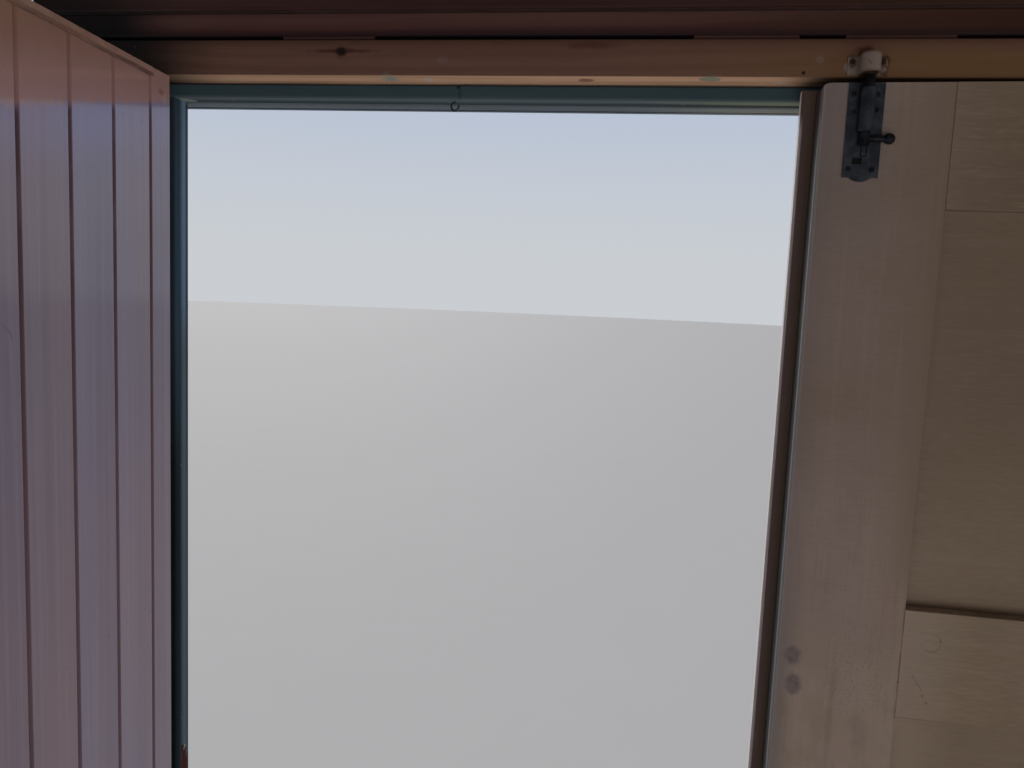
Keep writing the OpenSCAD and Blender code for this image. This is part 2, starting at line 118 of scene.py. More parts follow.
class Finish(Shading):
    """One material while it is made. Its coordinates are those of the piece as it was built:
    origin and turn say where that stands in the doorway, and flip mirrors it."""

    def __init__(self, name, origin=(0, 0, 0), turn=0.0, flip=False):
        self.material = bpy.data.materials.new(name)
        self.material.use_nodes = True
        super().__init__(self.material.node_tree)
        self.shader = self.tree.nodes["Principled BSDF"]
        held = self.node("TexCoord", {}, {}, "Object")
        self.place = self.node("Mapping", {"vector_type": "TEXTURE"}, {
            "Vector": held, "Location": origin, "Rotation": (0, 0, turn),
            "Scale": (-1 if flip else 1, 1, 1)})
        split = self.node("SeparateXYZ", {}, {0: self.place})
        self.x, self.y, self.z = (Field(self, s) for s in split.socket.node.outputs)
        self.colour = None
        self.rough = 0.5
        self.relief = 0.0

    def noise(self, scale, stretch=(1, 1, 1), detail=3.0, roughness=0.55, shift=0.0):
        """Noise of 0 to 1 with features of 1 / scale metres, longer where stretch is small."""
        spread = self.node("Mapping", {}, {"Vector": self.place, "Scale": stretch,
                                           "Location": (shift, shift, shift)})
        return self.node("TexNoise", {}, {"Vector": spread, "Scale": scale, "Detail": detail,
                                          "Roughness": roughness})

    def sway(self, reach, *settings, **named):
        """Noise with the same settings that wanders half of reach to either side of 0."""
        return (self.noise(*settings, **named) - 0.5) * reach

    def splashed(self, reach, scale, top, foot):
        """1 low down, where rain has splashed the piece, and 0 above a ragged top."""
        return self.rise(self.z + self.sway(reach, scale, detail=5), top, foot)

    def within(self, value, low, high, soft):
        """1 where the value lies between low and high, and 0 past soft outside them."""
        return self.rise(value, low - soft, low) * self.rise(value, high + soft, high)

    def near(self, centre, radii):
        """Distance from centre, measured in radii, so that 1 is the outline of an oval."""
        away = self.node("VectorMath", {"operation": "SUBTRACT"}, {0: self.place, 1: centre})
        scaled = self.node("VectorMath", {"operation": "DIVIDE"}, {0: away, 1: radii})
        return self.node("VectorMath", {"operation": "LENGTH"}, {0: scaled}, "Value")

    def mark(self, centre, radii, ragged=0.0, scale=200, soft=0.35):
        """1 on an oval mark and 0 off it, with an edge that wanders by ragged radii."""
        away = self.near(centre, radii)
        if ragged:
            away = away + self.sway(ragged * 2, scale, detail=4)
        return self.rise(away, 1.1, 1.1 - soft)

    def scratch(self, start, end, width):
        """1 along a straight scratch from start to end."""
        reach = Vector(end) - Vector(start)
        from_start = self.node("VectorMath", {"operation": "SUBTRACT"}, {0: self.place, 1: start})
        share = self.node("VectorMath", {"operation": "DOT_PRODUCT"},
                          {0: from_start, 1: tuple(reach / reach.length_squared)}, "Value")
        share = share.most(0.0).least(1.0)
        along = self.node("VectorMath", {"operation": "SCALE"}, {0: tuple(reach), "Scale": share})
        off = self.node("VectorMath", {"operation": "SUBTRACT"}, {0: from_start, 1: along})
        away = self.node("VectorMath", {"operation": "LENGTH"}, {0: off}, "Value")
        return self.rise(away, width, width * 0.4)

    def arris(self, box):
        """Metres to the nearest edge of a timber that fills the box."""
        sides = []
        for value, low, high in zip((self.x, self.y, self.z), *box):
            sides.append((value - low).least(high - value))
        most = sides[0].most(sides[1]).most(sides[2])
        least = sides[0].least(sides[1]).least(sides[2])
        return sides[0] + sides[1] + sides[2] - most - least

    def cover(self, mask, colour, duller=0.0, raised=0.0):
        """Lays a colour on the surface where mask is 1, rougher by duller and raised in mm."""
        self.colour = self.mix(mask, self.colour, colour)
        if duller:
            self.rough = self.rough + mask * duller
        if raised:
            self.relief = self.relief + mask * raised

    def link(self, socket, value):
        if isinstance(value, Field):
            self.tree.links.new(value.socket, self.shader.inputs[socket])
        else:
            self.shader.inputs[socket].default_value = value

    def made(self):
        """The material, once what was laid on it is joined to the shader."""
        if self.colour:
            self.link("Base Color", self.colour)
            self.link("Roughness", self.rough)
            self.link("Normal", self.node("Bump", {}, {"Height": self.relief, "Distance": 0.001,
                                                       "Strength": 1.0}))
            self.colour = None
        return self.material


def dress(node, finish):
    """Gives a node of the frame its material."""
    mesh = nodes[node].data
    mesh.materials.clear()
    mesh.materials.append(finish.made())


FRAME_GREEN = (0.024, 0.050, 0.058)
FRAME_GREEN_DULL = (0.044, 0.080, 0.092)
CHALK_GREEN = (0.145, 0.195, 0.205)
UNDERCOAT = (0.27, 0.29, 0.28)
GREY_WOOD = (0.26, 0.21, 0.17)
GRIT = (0.42, 0.36, 0.28)
ALONG = {"x": (0.03, 1, 1), "z": (1, 1, 0.03)}


def frame_paint(name, box, along, chalk=0.0):
    """Dark green gloss brushed along a timber and rubbed thin at its arrises. chalk is how far
    the weather has faded it."""
    paint = Finish("frame_paint_" + name)
    brush = paint.noise(420, ALONG[along], 2)
    sags = paint.noise(40, ALONG[along], 4, shift=2.6)
    broad = paint.noise(9, detail=4)
    paint.colour = paint.mix(paint.rise(broad * 0.6 + sags * 0.4, 0.36, 0.64),
                             FRAME_GREEN, FRAME_GREEN_DULL)
    paint.rough = 0.46 + brush * 0.16
    paint.relief = brush * 0.10 + broad * 0.3
    paint.link("Specular IOR Level", 0.22)
    if chalk:
        bloom = paint.rise(paint.noise(26, ALONG[along], 5, shift=0.9), 0.44, 0.70)
        paint.cover(bloom * chalk, CHALK_GREEN, 0.2)
    edge = paint.arris(box)
    rubbed = paint.rise(edge + paint.sway(0.003, 70, ALONG[along], 4), 0.0020, 0.0004)
    paint.cover(rubbed * 0.35, CHALK_GREEN, 0.1)
    chips = paint.rise(paint.noise(85, detail=5, shift=3.1) * 0.0135 - edge, 0.0084, 0.0090)
    under = paint.mix(paint.rise(paint.noise(60, detail=3, shift=5.5), 0.46, 0.54),
                      UNDERCOAT, GREY_WOOD)
    paint.cover(chips, under, 0.35, -0.2)
    grains = paint.rise(paint.noise(210, detail=5, shift=4), 0.26, 0.70)
    paint.cover(paint.splashed(0.28, 14, 0.20, 0.02) * grains * 0.80, GRIT, 0.35)
    return paint


TREAD_MIDDLE = 0.42
TREAD_REACH = 0.33
SILL_FALL = 0.018
TRODDEN_DARK = (0.22, 0.18, 0.14)
TRODDEN_PALE = (0.38, 0.32, 0.25)
low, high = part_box("threshold")
sill = frame_paint("threshold", (low, high), "x")
off_tread = abs(abs(sill.x) - TREAD_MIDDLE) + sill.sway(0.34, 9, detail=6)
walked = sill.rise(off_tread, TREAD_REACH + 0.03, TREAD_REACH - 0.03)
tread = sill.rise(sill.z, high.z - SILL_FALL - 0.003, high.z - SILL_FALL)
trodden = sill.mix(sill.noise(240, (0.04, 1, 1), 4), TRODDEN_DARK, TRODDEN_PALE)
sill.cover(tread * walked, trodden, 0.35, -0.15)
dress("threshold", sill)

# Doorposts
# Planed softwood posts at both sides, tenoned into the header and painted dark green.
# Low down the green has flaked off in places, as far as a red primer.

FLAKED_HEIGHT = 0.846
FLAKED_DEPTH = 0.0565
RED_OXIDE = (0.145, 0.044, 0.034)
RED_OXIDE_DARK = (0.052, 0.020, 0.016)
CREAM_PRIMER = (0.46, 0.42, 0.34)


def flake(paint, worn=False):
    """Takes the green off in flakes below FLAKED_HEIGHT, down to the primers under it: all of
    it where the frame is worn, and in scattered flakes elsewhere."""
    ragged = paint.sway(0.05, 34, detail=6, shift=1.3)
    band = paint.rise(paint.z + ragged, FLAKED_HEIGHT + 0.001, FLAKED_HEIGHT - 0.001)
    lower = paint.rise(paint.z, FLAKED_HEIGHT - 0.10, FLAKED_HEIGHT - 0.36)
    hold = lower * 0.25 if worn else 0.17
    kept = paint.rise(paint.noise(11, detail=6, shift=2.2) + hold, 0.60, 0.615)
    if worn:
        front = paint.rise(paint.y + ragged * 0.1, FLAKED_DEPTH + 0.001, FLAKED_DEPTH - 0.001)
        kept = kept.most(front)
    flaked = band * (1 - kept)
    paint.cover(flaked, paint.mix(paint.noise(70, detail=4), RED_OXIDE, RED_OXIDE_DARK), 0.4, -0.2)
    rim = flaked * paint.rise(paint.z + ragged, FLAKED_HEIGHT - 0.010, FLAKED_HEIGHT - 0.004)
    paint.cover(rim * paint.rise(paint.noise(90, detail=3, shift=9), 0.52, 0.56), CREAM_PRIMER)


for post in ("left_post", "right_post"):
    green = frame_paint(post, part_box(post), "z")
    flake(green)
    dress(post, green)

# Header beam
# A bare planed pine beam across the tops of the posts. It has a few small knots and dabs of
# paint where the brush strayed, and its face is darker towards its top. Its underside is painted
# paler as lit from below, and painted shade blackens its left end, the gaps along its top, the
# underside over the right leaf and the mouth of the keeper.

PINE_FACE = (0.295, 0.162, 0.120)
PINE_LATE = (0.203, 0.100, 0.072)
PINE_SOFFIT_LIT = (0.80, 0.50, 0.310)
PINE_SOFFIT_LIT_LATE = (0.66, 0.375, 0.22)
KNOT_BROWN = (0.085, 0.036, 0.024)
KNOT_DARK = (0.018, 0.012, 0.011)
KNOT_HALO = (0.085, 0.026, 0.022)
KNOT_RED = (0.24, 0.085, 0.055)
RED_SMUDGE = (0.095, 0.030, 0.028)
PINE_YELLOWED = (0.272, 0.148, 0.050)
STRAYED_GREEN = (0.100, 0.092, 0.080)
SOFFIT_SHADE = (0.060, 0.036, 0.026)
RUST_RUN = (0.075, 0.024, 0.012)
FILLER_WHITE = (0.36, 0.33, 0.31)
SHADE_BLACK = (0.0050, 0.0070, 0.0100)
FACE_KNOT = (-0.5423, 0.0, 1.7724)
SMUDGE = (-0.247, 0.0, 1.7785)
PACKER_MIDDLES = (0.080, 0.558)
PACKER_HALF = 0.056


def sawn_timber(name, box, pale, late, heart, spacing, knots):
    """Bare wood along X: rings round the heart, fibres, knots and dirt at the arrises. A knot
    is a centre with its radius, round which the rings bend."""
    wood = Finish(name)
    wander = wood.sway(0.05, 3.2, (0.25, 1, 1), 3)
    across = (wood.y - heart[0]) * (wood.y - heart[0]) + (wood.z - heart[1]) * (wood.z - heart[1])
    reach = across.math("SQRT", across) + wander
    for centre, radius in knots:
        bend = wood.near(centre, (radius * 4.5, radius * 2.6, radius * 2.6))
        reach = reach + wood.rise(bend, 1.0, 0.0) * radius * 1.6
    turns = reach * (2 * math.pi / spacing)
    late_wood = turns.math("SINE", turns) * 0.5 + 0.5
    fibre = wood.noise(900, ALONG["x"], 3)
    streak = wood.noise(30, (0.07, 1, 1), 4, shift=2.0)
    wood.colour = wood.mix(wood.rise(late_wood, 0.30, 1.0) * 0.35, pale, late)
    wood.cover(wood.rise(streak, 0.42, 0.75) * 0.45, late)
    wood.cover(wood.rise(fibre, 0.50, 0.80) * 0.28, KNOT_BROWN)
    wood.rough = 0.62 + fibre * 0.12
    wood.relief = fibre * 0.10 + late_wood * 0.06
    wood.link("Specular IOR Level", 0.2)
    for centre, radius in knots:
        away = wood.near(centre, (radius * 1.2, radius, radius))
        away = away + wood.sway(0.5, 260, detail=2)
        wood.cover(wood.rise(away, 2.4, 0.9) * 0.55, late)
        wood.cover(wood.rise(away, 1.6, 0.8) * 0.9, KNOT_BROWN, raised=-0.1)
        wood.cover(wood.rise(away, 1.25, 0.6) * 0.95, KNOT_DARK, raised=-0.15)
    dirt = wood.rise(wood.arris(box) + wood.sway(0.004, 60, detail=4), 0.0030, 0.0006)
    wood.cover(dirt * 0.30, KNOT_BROWN)
    return wood


def over_gaps(wood):
    """1 where the joint above the header stands open, and 0 on the packers in it."""
    inner, outer = (wood.within(abs(wood.x), middle - PACKER_HALF, middle + PACKER_HALF, 0.002)
                    for middle in PACKER_MIDDLES)
    return 1 - (inner + outer)


low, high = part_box("header_beam")
under = low.z
beam = sawn_timber("bare_pine_header", (low, high), PINE_FACE, PINE_LATE, (0.16, 1.66), 0.0085,
                   [(FACE_KNOT, 0.0050), ((-0.2516, 0.0167, under), 0.0045),
                    ((0.62, 0.0, 1.770), 0.006)])
soffit = beam.rise(beam.y, 0.0010, 0.0022) * beam.rise(beam.z, under + 0.004, under + 0.001)
soffit_streak = beam.rise(beam.noise(70, (0.05, 1, 1), 4, shift=1.2), 0.40, 0.72)
# Painted light: the underside is painted paler, as lit from below.
beam.cover(soffit, beam.mix(soffit_streak, PINE_SOFFIT_LIT, PINE_SOFFIT_LIT_LATE))
beam.cover(beam.rise(beam.x, -0.30, 0.16) * (1 - soffit) * 0.68, PINE_YELLOWED)
# The face is painted darker towards its top.
beam.cover(beam.rise(beam.z, high.z - 0.024, high.z - 0.004) * 0.72, PINE_LATE)
beam.cover(beam.rise(beam.z, high.z - 0.010, high.z) * 0.50, KNOT_BROWN)
beam.cover(beam.mark(SMUDGE, (0.042, 0.02, 0.0055), 0.5, 60, 0.9) * 0.55, RED_SMUDGE)
# Painted shade: the top edge is painted black where the joint above stands open.
beam.cover(over_gaps(beam) * beam.rise(beam.z, high.z - 0.0018, high.z - 0.0006) * 0.92, SHADE_BLACK)
beam.cover(beam.mark(FACE_KNOT, (0.055, 0.02, 0.0030), 0.5, 70, 0.8) * 0.70, KNOT_HALO)
beam.cover(beam.mark((-0.2540, 0.0180, under), (0.0095, 0.008, 0.01), 0.4) * 0.75, KNOT_RED)
for centre, radii, share, tint in (
        ((-0.4201, 0.0, 1.7624), (0.008, 0.006, 0.006), 0.13, (0.40, 0.42, 0.50)),
        ((-0.0010, 0.0, 1.7629), (0.006, 0.006, 0.005), 0.17, (0.42, 0.42, 0.50)),
        ((-0.4870, 0.0170, under), (0.0125, 0.019, 0.01), 0.55, (0.33, 0.42, 0.36)),
        ((-0.4840, 0.0130, under), (0.0060, 0.008, 0.01), 0.60, (0.22, 0.33, 0.28)),
        ((-0.1150, 0.0110, under), (0.0140, 0.011, 0.01), 0.75, (0.20, 0.31, 0.22)),
        ((-0.4400, 0.0200, under), (0.0080, 0.011, 0.01), 0.45, (0.66, 0.64, 0.70)),
        ((-0.0362, 0.0255, under), (0.009, 0.005, 0.01), 0.55, (0.66, 0.62, 0.60))):
    beam.cover(beam.mark(centre, radii, 0.6, 160, 0.6) * share, tint, raised=0.05)
strayed = beam.rise(beam.y + beam.sway(0.010, 40, (0.2, 1, 1), 4), 0.0365, 0.0425)
beam.cover(strayed * soffit * 0.75, STRAYED_GREEN)
# Painted shade: the underside over the right leaf is painted dark.
beam.cover(soffit * beam.rise(beam.x, -0.045, 0.012) * 0.85, SOFFIT_SHADE)
for centre, radii, share in (((0.0460, 0.0, 1.7700), (0.011, 0.02, 0.0085), 0.75),
                             ((0.0660, 0.0, 1.7600), (0.006, 0.02, 0.010), 0.75),
                             ((0.0320, 0.0, 1.7630), (0.005, 0.02, 0.006), 0.60)):
    beam.cover(beam.mark(centre, radii, 0.5, 180, 0.6) * share, RUST_RUN)
beam.cover(beam.mark((0.0300, 0.0, 1.7545), (0.0055, 0.02, 0.0065), 0.6, 200), FILLER_WHITE)
# Painted shade: black on the face just under the keeper, around the rod.
beam.cover(beam.mark((0.0480, 0.0, 1.7460), (0.0125, 0.02, 0.0065), 0.3, 160, 0.8) * 0.85, SHADE_BLACK)
beam.cover(beam.mark(FACE_KNOT, (0.0062, 0.02, 0.0050), 0.45, 180, 0.6) * 0.92, KNOT_DARK)
# Painted shade: the left end is painted black.
beam.cover(beam.rise(beam.x, -0.67, -0.81) * 0.95, SHADE_BLACK)
dress("header_beam", beam)

# Stops
# Planed strips nailed round the frame for the leaves to shut against, painted with it.
# The head stop's face has faded to a blue grey, and the paint is worn off at its left corner.
# Its underside is painted dark green as shade, with a painted band of light along its inner
# edge and a painted highlight on the worn lower arris. The side stops are painted paler
# towards the outside as lit, and darker deeper in as shade.

STOP_FACE = (0.095, 0.165, 0.200)
STOP_FACE_DEEP = (0.067, 0.122, 0.155)
STOP_UNDER_SHADE = (0.056, 0.080, 0.092)
STOP_UNDER_SHADE_DRAB = (0.050, 0.058, 0.042)
STOP_UNDER_LIT = (0.178, 0.235, 0.255)
STOP_UNDER_LIT_DRAB = (0.290, 0.325, 0.235)
STOP_ARRIS_HIGHLIGHT = (0.178, 0.235, 0.250)
STOP_CORNER = (0.300, 0.350, 0.290)
HOOK_DARK_SPOT = (0.010, 0.012, 0.016)
HOOK_DARK_STREAK = (0.040, 0.045, 0.075)
REVEAL_LIT_LOW = (0.160, 0.215, 0.238)
REVEAL_LIT_HIGH = (0.225, 0.345, 0.490)
INNER_SHADE_LOW = (0.021, 0.027, 0.027)
INNER_SHADE_HIGH = (0.057, 0.086, 0.119)
WEATHERED_SPAN = (-0.24, -0.03)
SMEARED = (0.05, 1, 1)


def stop_paint(name, box, along):
    """The frame's paint on a stop, dull with touching."""
    paint = frame_paint(name, box, along, 0.15)
    paint.rough = paint.rough + 0.25
    paint.link("Specular IOR Level", 0.04)
    return paint


low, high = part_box("head_stop")
head_stop = stop_paint("head_stop", (low, high), "x")
face = head_stop.rise(head_stop.y, low.y + 0.0008, low.y + 0.0003)
head_stop.cover(face * 0.85, head_stop.mix(head_stop.noise(18, (0.2, 1, 1), 4), STOP_FACE,
                                           STOP_FACE_DEEP))
underside = head_stop.rise(head_stop.z, low.z + 0.0008, low.z + 0.0003)
smears = head_stop.rise(head_stop.noise(26, SMEARED, 4, shift=5.1), 0.36, 0.66)
weathered = head_stop.rise(head_stop.x, *WEATHERED_SPAN)
# Painted shade: the underside is painted a dull dark green, seen at its back.
head_stop.cover(underside, head_stop.mix(weathered, STOP_UNDER_SHADE, STOP_UNDER_SHADE_DRAB))
# Painted light: a paler band along the inner edge of the underside, as lit from outside.
depth = head_stop.y + head_stop.sway(0.010, 34, (0.08, 1, 1), 3, shift=7.7)
faded = head_stop.rise(depth, low.y + 0.021, low.y + 0.005 + weathered * 0.009)
head_stop.cover(underside * faded * (0.65 + smears * 0.35),
                head_stop.mix(weathered, STOP_UNDER_LIT, STOP_UNDER_LIT_DRAB))
# Painted highlight along the lower arris, which is also worn.
lower_arris = head_stop.rise(head_stop.near((0.0, low.y, low.z), (9.0, 0.0030, 0.0030)), 1.3, 0.5)
head_stop.cover(lower_arris * (0.45 + smears * 0.45), STOP_ARRIS_HIGHLIGHT)
worn_corner = head_stop.mark((-0.7720, 0.062, low.z), (0.0120, 0.0140, 0.008), 0.5, 120)
head_stop.cover(worn_corner, STOP_CORNER, 0.2, -0.2)
# A dark spot and a faint dark streak on the face beside the hook.
for x, z, radii, share, tint in (
        (-0.4095, 1.7425, (0.0034, 0.01, 0.0030), 0.9, HOOK_DARK_SPOT),
        (-0.4075, 1.7350, (0.0035, 0.01, 0.0100), 0.4, HOOK_DARK_STREAK)):
    head_stop.cover(head_stop.mark((x, low.y, z), radii, 0.4, 200, 0.9) * share, tint)
dress("head_stop", head_stop)
for stop in ("left_stop", "right_stop"):
    low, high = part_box(stop)
    green = stop_paint(stop, (low, high), "z")
    depth = green.y + green.sway(0.005, 30, ALONG["z"], 3)
    # Painted light: paler towards the outside of the side face, bluer high up.
    reveal = green.mix(green.rise(green.z, 1.38, 1.50), REVEAL_LIT_LOW, REVEAL_LIT_HIGH)
    green.cover(green.rise(depth, low.y + 0.008, low.y + 0.021) * 0.85, reveal)
    # Painted shade: darker deeper in, darkest low down.
    inner_side = green.mix(green.rise(green.z, 1.20, 1.46), INNER_SHADE_LOW, INNER_SHADE_HIGH)
    green.cover(green.rise(depth, low.y + 0.016, low.y + 0.004) * 0.92, inner_side)
    flake(green, worn=stop == "left_stop")
    dress(stop, green)

# Casings, drip moulding and fascia
# The outer trim: sawn boards nailed over the posts and above the doorway, with a moulding
# between them that throws the rain clear of the leaves.

DRIP_LIT_BLUISH = (0.125, 0.165, 0.215)
DRIP_LIT_DRAB = (0.300, 0.335, 0.275)
for casing in ("left_casing", "right_casing"):
    green = frame_paint(casing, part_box(casing), "z", 0.8)
    flake(green)
    dress(casing, green)
for trim in ("head_drip", "front_fascia"):
    low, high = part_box(trim)
    green = frame_paint(trim, (low, high), "x", 0.15)
    if trim == "head_drip":
        # Painted light: the underside, back from its inner edge, is painted pale as lit from
        # outside.
        below = green.rise(green.z, low.z + 0.0022, low.z + 0.0010)
        below = below * green.rise(green.y, low.y + 0.004, low.y + 0.012)
        drab = green.mix(green.rise(green.x, *WEATHERED_SPAN), DRIP_LIT_BLUISH, DRIP_LIT_DRAB)
        patchy = 0.6 + green.rise(green.noise(30, SMEARED, 4), 0.4, 0.65) * 0.4
        green.cover(below * patchy, drab)
    dress(trim, green)

# Nails of the outer trim
# Round wire nails punched just under the paint, whose heads have lifted again.


def head_shape(radius, height, slot=0.0):
    """Mesh of a round head that stands on the XY plane. A slot that is asked for is sunk in the
    head, but the faces over it stay, so it is closed and doesn't show."""
    head = bmesh.new()
    bmesh.ops.create_circle(head, cap_ends=True, segments=20, radius=radius)
    raised = bmesh.ops.extrude_face_region(head, geom=list(head.faces))
    top = [v for v in raised["geom"] if isinstance(v, bmesh.types.BMVert)]
    bmesh.ops.translate(head, verts=top, vec=(0, 0, height))
    rim = [e for e in head.edges if all(v in top for v in e.verts)]
    bmesh.ops.bevel(head, geom=rim, offset=min(height * 0.9, radius * 0.5), affect="EDGES",
                    segments=3, profile=0.5, material=-1)
    if slot:
        for side in (-1, 1):
            bmesh.ops.bisect_plane(head, geom=[*head.verts, *head.edges, *head.faces],
                                   plane_co=(side * slot / 2, 0, 0), plane_no=(1, 0, 0))
        cut = [f for f in head.faces
               if f.normal.z > 0.3 and abs(f.calc_center_median().x) < slot / 2]
        sunk = bmesh.ops.extrude_face_region(head, geom=cut)
        slot_floor = [v for v in sunk["geom"] if isinstance(v, bmesh.types.BMVert)]
        bmesh.ops.translate(head, verts=slot_floor, vec=(0, 0, -height * 0.7))
    bmesh.ops.recalc_face_normals(head, faces=head.faces)
    mesh = bpy.data.meshes.new("head")
    head.to_mesh(mesh)
    head.free()
    return mesh


def new_piece(name, shape, finish):
    """Makes an object of a finished bmesh and gives it its material."""
    mesh = bpy.data.meshes.new(name)
    shape.to_mesh(mesh)
    shape.free()
    mesh.materials.append(finish.made())
    piece = bpy.data.objects.new(name, mesh)
    bpy.context.scene.collection.objects.link(piece)
    return piece


def heads(name, spots, finish, body, radius, height, slot=0.0):
    """One piece of equal heads. Each spot is a place and the direction that it faces."""
    turns = random.Random(name)
    shape = head_shape(radius, height, slot)
    whole = bmesh.new()
    for place, facing in spots:
        one = shape.copy()
        lie = Vector(facing).to_track_quat("Z", "Y").to_matrix().to_4x4()
        spin = Matrix.Rotation(turns.uniform(0, math.pi), 4, "Z")
        one.transform(Matrix.Translation(place) @ lie @ spin)
        whole.from_mesh(one)
        bpy.data.meshes.remove(one)
    bpy.data.meshes.remove(shape)
    piece = new_piece(name, whole, finish)
    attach(piece, body)


def spaced(start, end, count):
    """Equally spaced places from start to end."""
    return [start + step * (end - start) / (count - 1) for step in range(count)]


NAIL_SUNK = 0.0003
NAIL_FROM_SIDE = 0.022
NAIL_GREEN = (0.0352, 0.0640, 0.0736)
NAIL_RUST = (0.13, 0.045, 0.02)
frame_nails = Finish("frame_paint_nails")
frame_nails.colour = frame_nails.mix(frame_nails.noise(300), FRAME_GREEN_DULL, NAIL_GREEN)
rust_spread = frame_nails.noise(420, detail=4) + frame_nails.sway(0.8, 7)
frame_nails.rough = 0.35
frame_nails.cover(frame_nails.rise(rust_spread, 0.60, 0.65), NAIL_RUST, 0.5)
frame_nails.relief = frame_nails.noise(900) * 0.1

nailed = []
for casing in ("left_casing", "right_casing"):
    low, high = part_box(casing)
    nailed += [(x, high.y - NAIL_SUNK, z) for z in spaced(low.z + 0.09, high.z - 0.09, 6)
               for x in (low.x + NAIL_FROM_SIDE, high.x - NAIL_FROM_SIDE)]
low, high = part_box("front_fascia")
nailed += [(x, high.y - NAIL_SUNK, z) for x in spaced(low.x + 0.05, high.x - 0.05, 7)
           for z in (low.z + 0.035, high.z - 0.035)]
heads("trim_nails", [(place, (0, 1, 0)) for place in nailed], frame_nails, "frame",
      radius=0.0028, height=0.0009)

stop_spots = []
for stop, inward in (("left_stop", 1), ("right_stop", -1)):
    low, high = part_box(stop)
    face_x = high.x if inward > 0 else low.x
    stop_spots += [((face_x - inward * NAIL_SUNK, (low.y + high.y) / 2, z), (inward, 0, 0))
                   for z in spaced(low.z + 0.12, high.z - 0.12, 5)]
low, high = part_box("head_stop")
stop_spots += [((x, (low.y + high.y) / 2, low.z + NAIL_SUNK), (0, 0, -1))
               for x in spaced(low.x + 0.10, high.x - 0.10, 6)]
heads("stop_nails", stop_spots, frame_nails, "frame", radius=0.0020, height=0.0006)

# Packers, batten, upper boards and studs
# Bare brown timber above the header, dusty, with painted shade at its left end and along the
# batten's foot where the joint stands open: thin packers level a batten on the beam, and rough
# boards fill the space up to the roof, nailed to short studs behind them.

BROWN_PALE = (0.172, 0.086, 0.073)
BROWN_LATE = (0.096, 0.044, 0.038)
BROWN_DARK = (0.094, 0.045, 0.043)
BROWN_DARK_LATE = (0.058, 0.027, 0.024)
BATTEN_FOOT = (0.082, 0.026, 0.032)
BATTEN_WARM = (0.066, 0.0255, 0.0125)
BATTEN_GRIME = (0.028, 0.014, 0.018)
BOARD_WARM = (0.068, 0.030, 0.013)
upper_timbers = {
    "head_packers": ((0.3, 1.60), 0.012, []),
    "head_batten": ((0.22, 1.70), 0.010, [((0.55, 0.0, 1.803), 0.005)]),
    "upper_board_low": ((0.35, 1.78), 0.014,
                        [((-0.12, 0.0, 1.868), 0.010), ((0.66, 0.0, 1.876), 0.012)]),
    "upper_board_high": ((0.30, 2.10), 0.012,
                         [((-0.58, 0.0, 1.955), 0.011), ((0.20, 0.0, 1.979), 0.010)]),
    "upper_studs": ((0.2, 1.4), 0.010, []),
}
for timber, (heart, spacing, knots) in upper_timbers.items():
    low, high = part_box(timber)
    board = timber.startswith("upper")
    batten = timber == "head_batten"
    pale, late = (BROWN_PALE, BROWN_LATE) if batten else (BROWN_DARK, BROWN_DARK_LATE)
    wood = sawn_timber("brown_timber_" + timber, (low, high), pale, late, heart, spacing, knots)
    saw_marks = wood.noise(340, (1, 0.1, 0.12), 2)
    dusty = wood.rise(wood.noise(22, (0.5, 1, 1), 5, shift=6), 0.50, 0.80)
    wood.cover(dusty * 0.22, tuple(c * 1.3 for c in pale), 0.1)
    grain = wood.noise(150, (0.025, 1, 1), 4, shift=1.7)
    wood.cover(wood.rise(grain, 0.46, 0.70) * (0.55 if board else 0.25), late, raised=0.1)
    wood.relief = wood.relief * 1.6 + saw_marks * 0.12
    if batten:
        wood.cover(wood.rise(wood.z, low.z + 0.019, low.z + 0.003) * 0.60, BATTEN_FOOT)
        # Painted shade: the foot is painted black where the joint below stands open.
        wood.cover(over_gaps(wood) * wood.rise(wood.z, low.z + 0.0018, low.z + 0.0006) * 0.92, SHADE_BLACK)
        wood.cover(wood.rise(wood.x, -0.30, 0.25) * 0.85, BATTEN_WARM)
        hanging = wood.z + wood.sway(0.004, 30, (0.15, 1, 1), 4, shift=5.2)
        wood.cover(wood.rise(hanging, low.z + 0.010, low.z + 0.001) * 0.72, BATTEN_GRIME)
        # Painted shade: the left end is painted black.
        wood.cover(wood.rise(wood.x, -0.730, -0.835) * 0.95, SHADE_BLACK)
    elif board:
        wood.cover(wood.rise(wood.x, -0.15, 0.15) * 0.70, BOARD_WARM)
        # Painted shade: the left end is painted black.
        wood.cover(wood.rise(wood.x, -0.70, -0.90) * 0.75, SHADE_BLACK)
    dress(timber, wood)

# Filler in the joint
# A dark brown filler that stands for the shade in the joint between the batten and the board
# above it, with a rough face that lies a little back from the timbers. Its left end is painted
# black as shade.

FILLER_SHADE_BROWN = (0.040, 0.020, 0.018)
FILLER_SHADE_PALE = (0.085, 0.044, 0.040)
FILLER_MIDDLE = 0.003
FILLER_INSET = 0.0008
FILLER_SUNK = 0.0016
low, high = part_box("head_batten")
joint_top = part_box("upper_board_low")[0].z
filler_size = (high.x - low.x - 0.002, 2 * (FILLER_MIDDLE - FILLER_INSET), joint_top - high.z, 1)
filler_centre = ((low.x + high.x) / 2, FILLER_MIDDLE, (high.z + joint_top) / 2)
filler_shape = bmesh.new()
bmesh.ops.create_cube(filler_shape, size=1.0,
                      matrix=Matrix.Translation(filler_centre) @ Matrix.Diagonal(filler_size))
lengthways = [e for e in filler_shape.edges if abs(e.verts[0].co.x - e.verts[1].co.x) > 1]
bmesh.ops.subdivide_edges(filler_shape, edges=lengthways, cuts=90, use_grid_fill=True)
packed = random.Random(23)
for vert in filler_shape.verts:
    if vert.co.y < FILLER_MIDDLE:
        vert.co.y += packed.uniform(0.0, FILLER_SUNK)
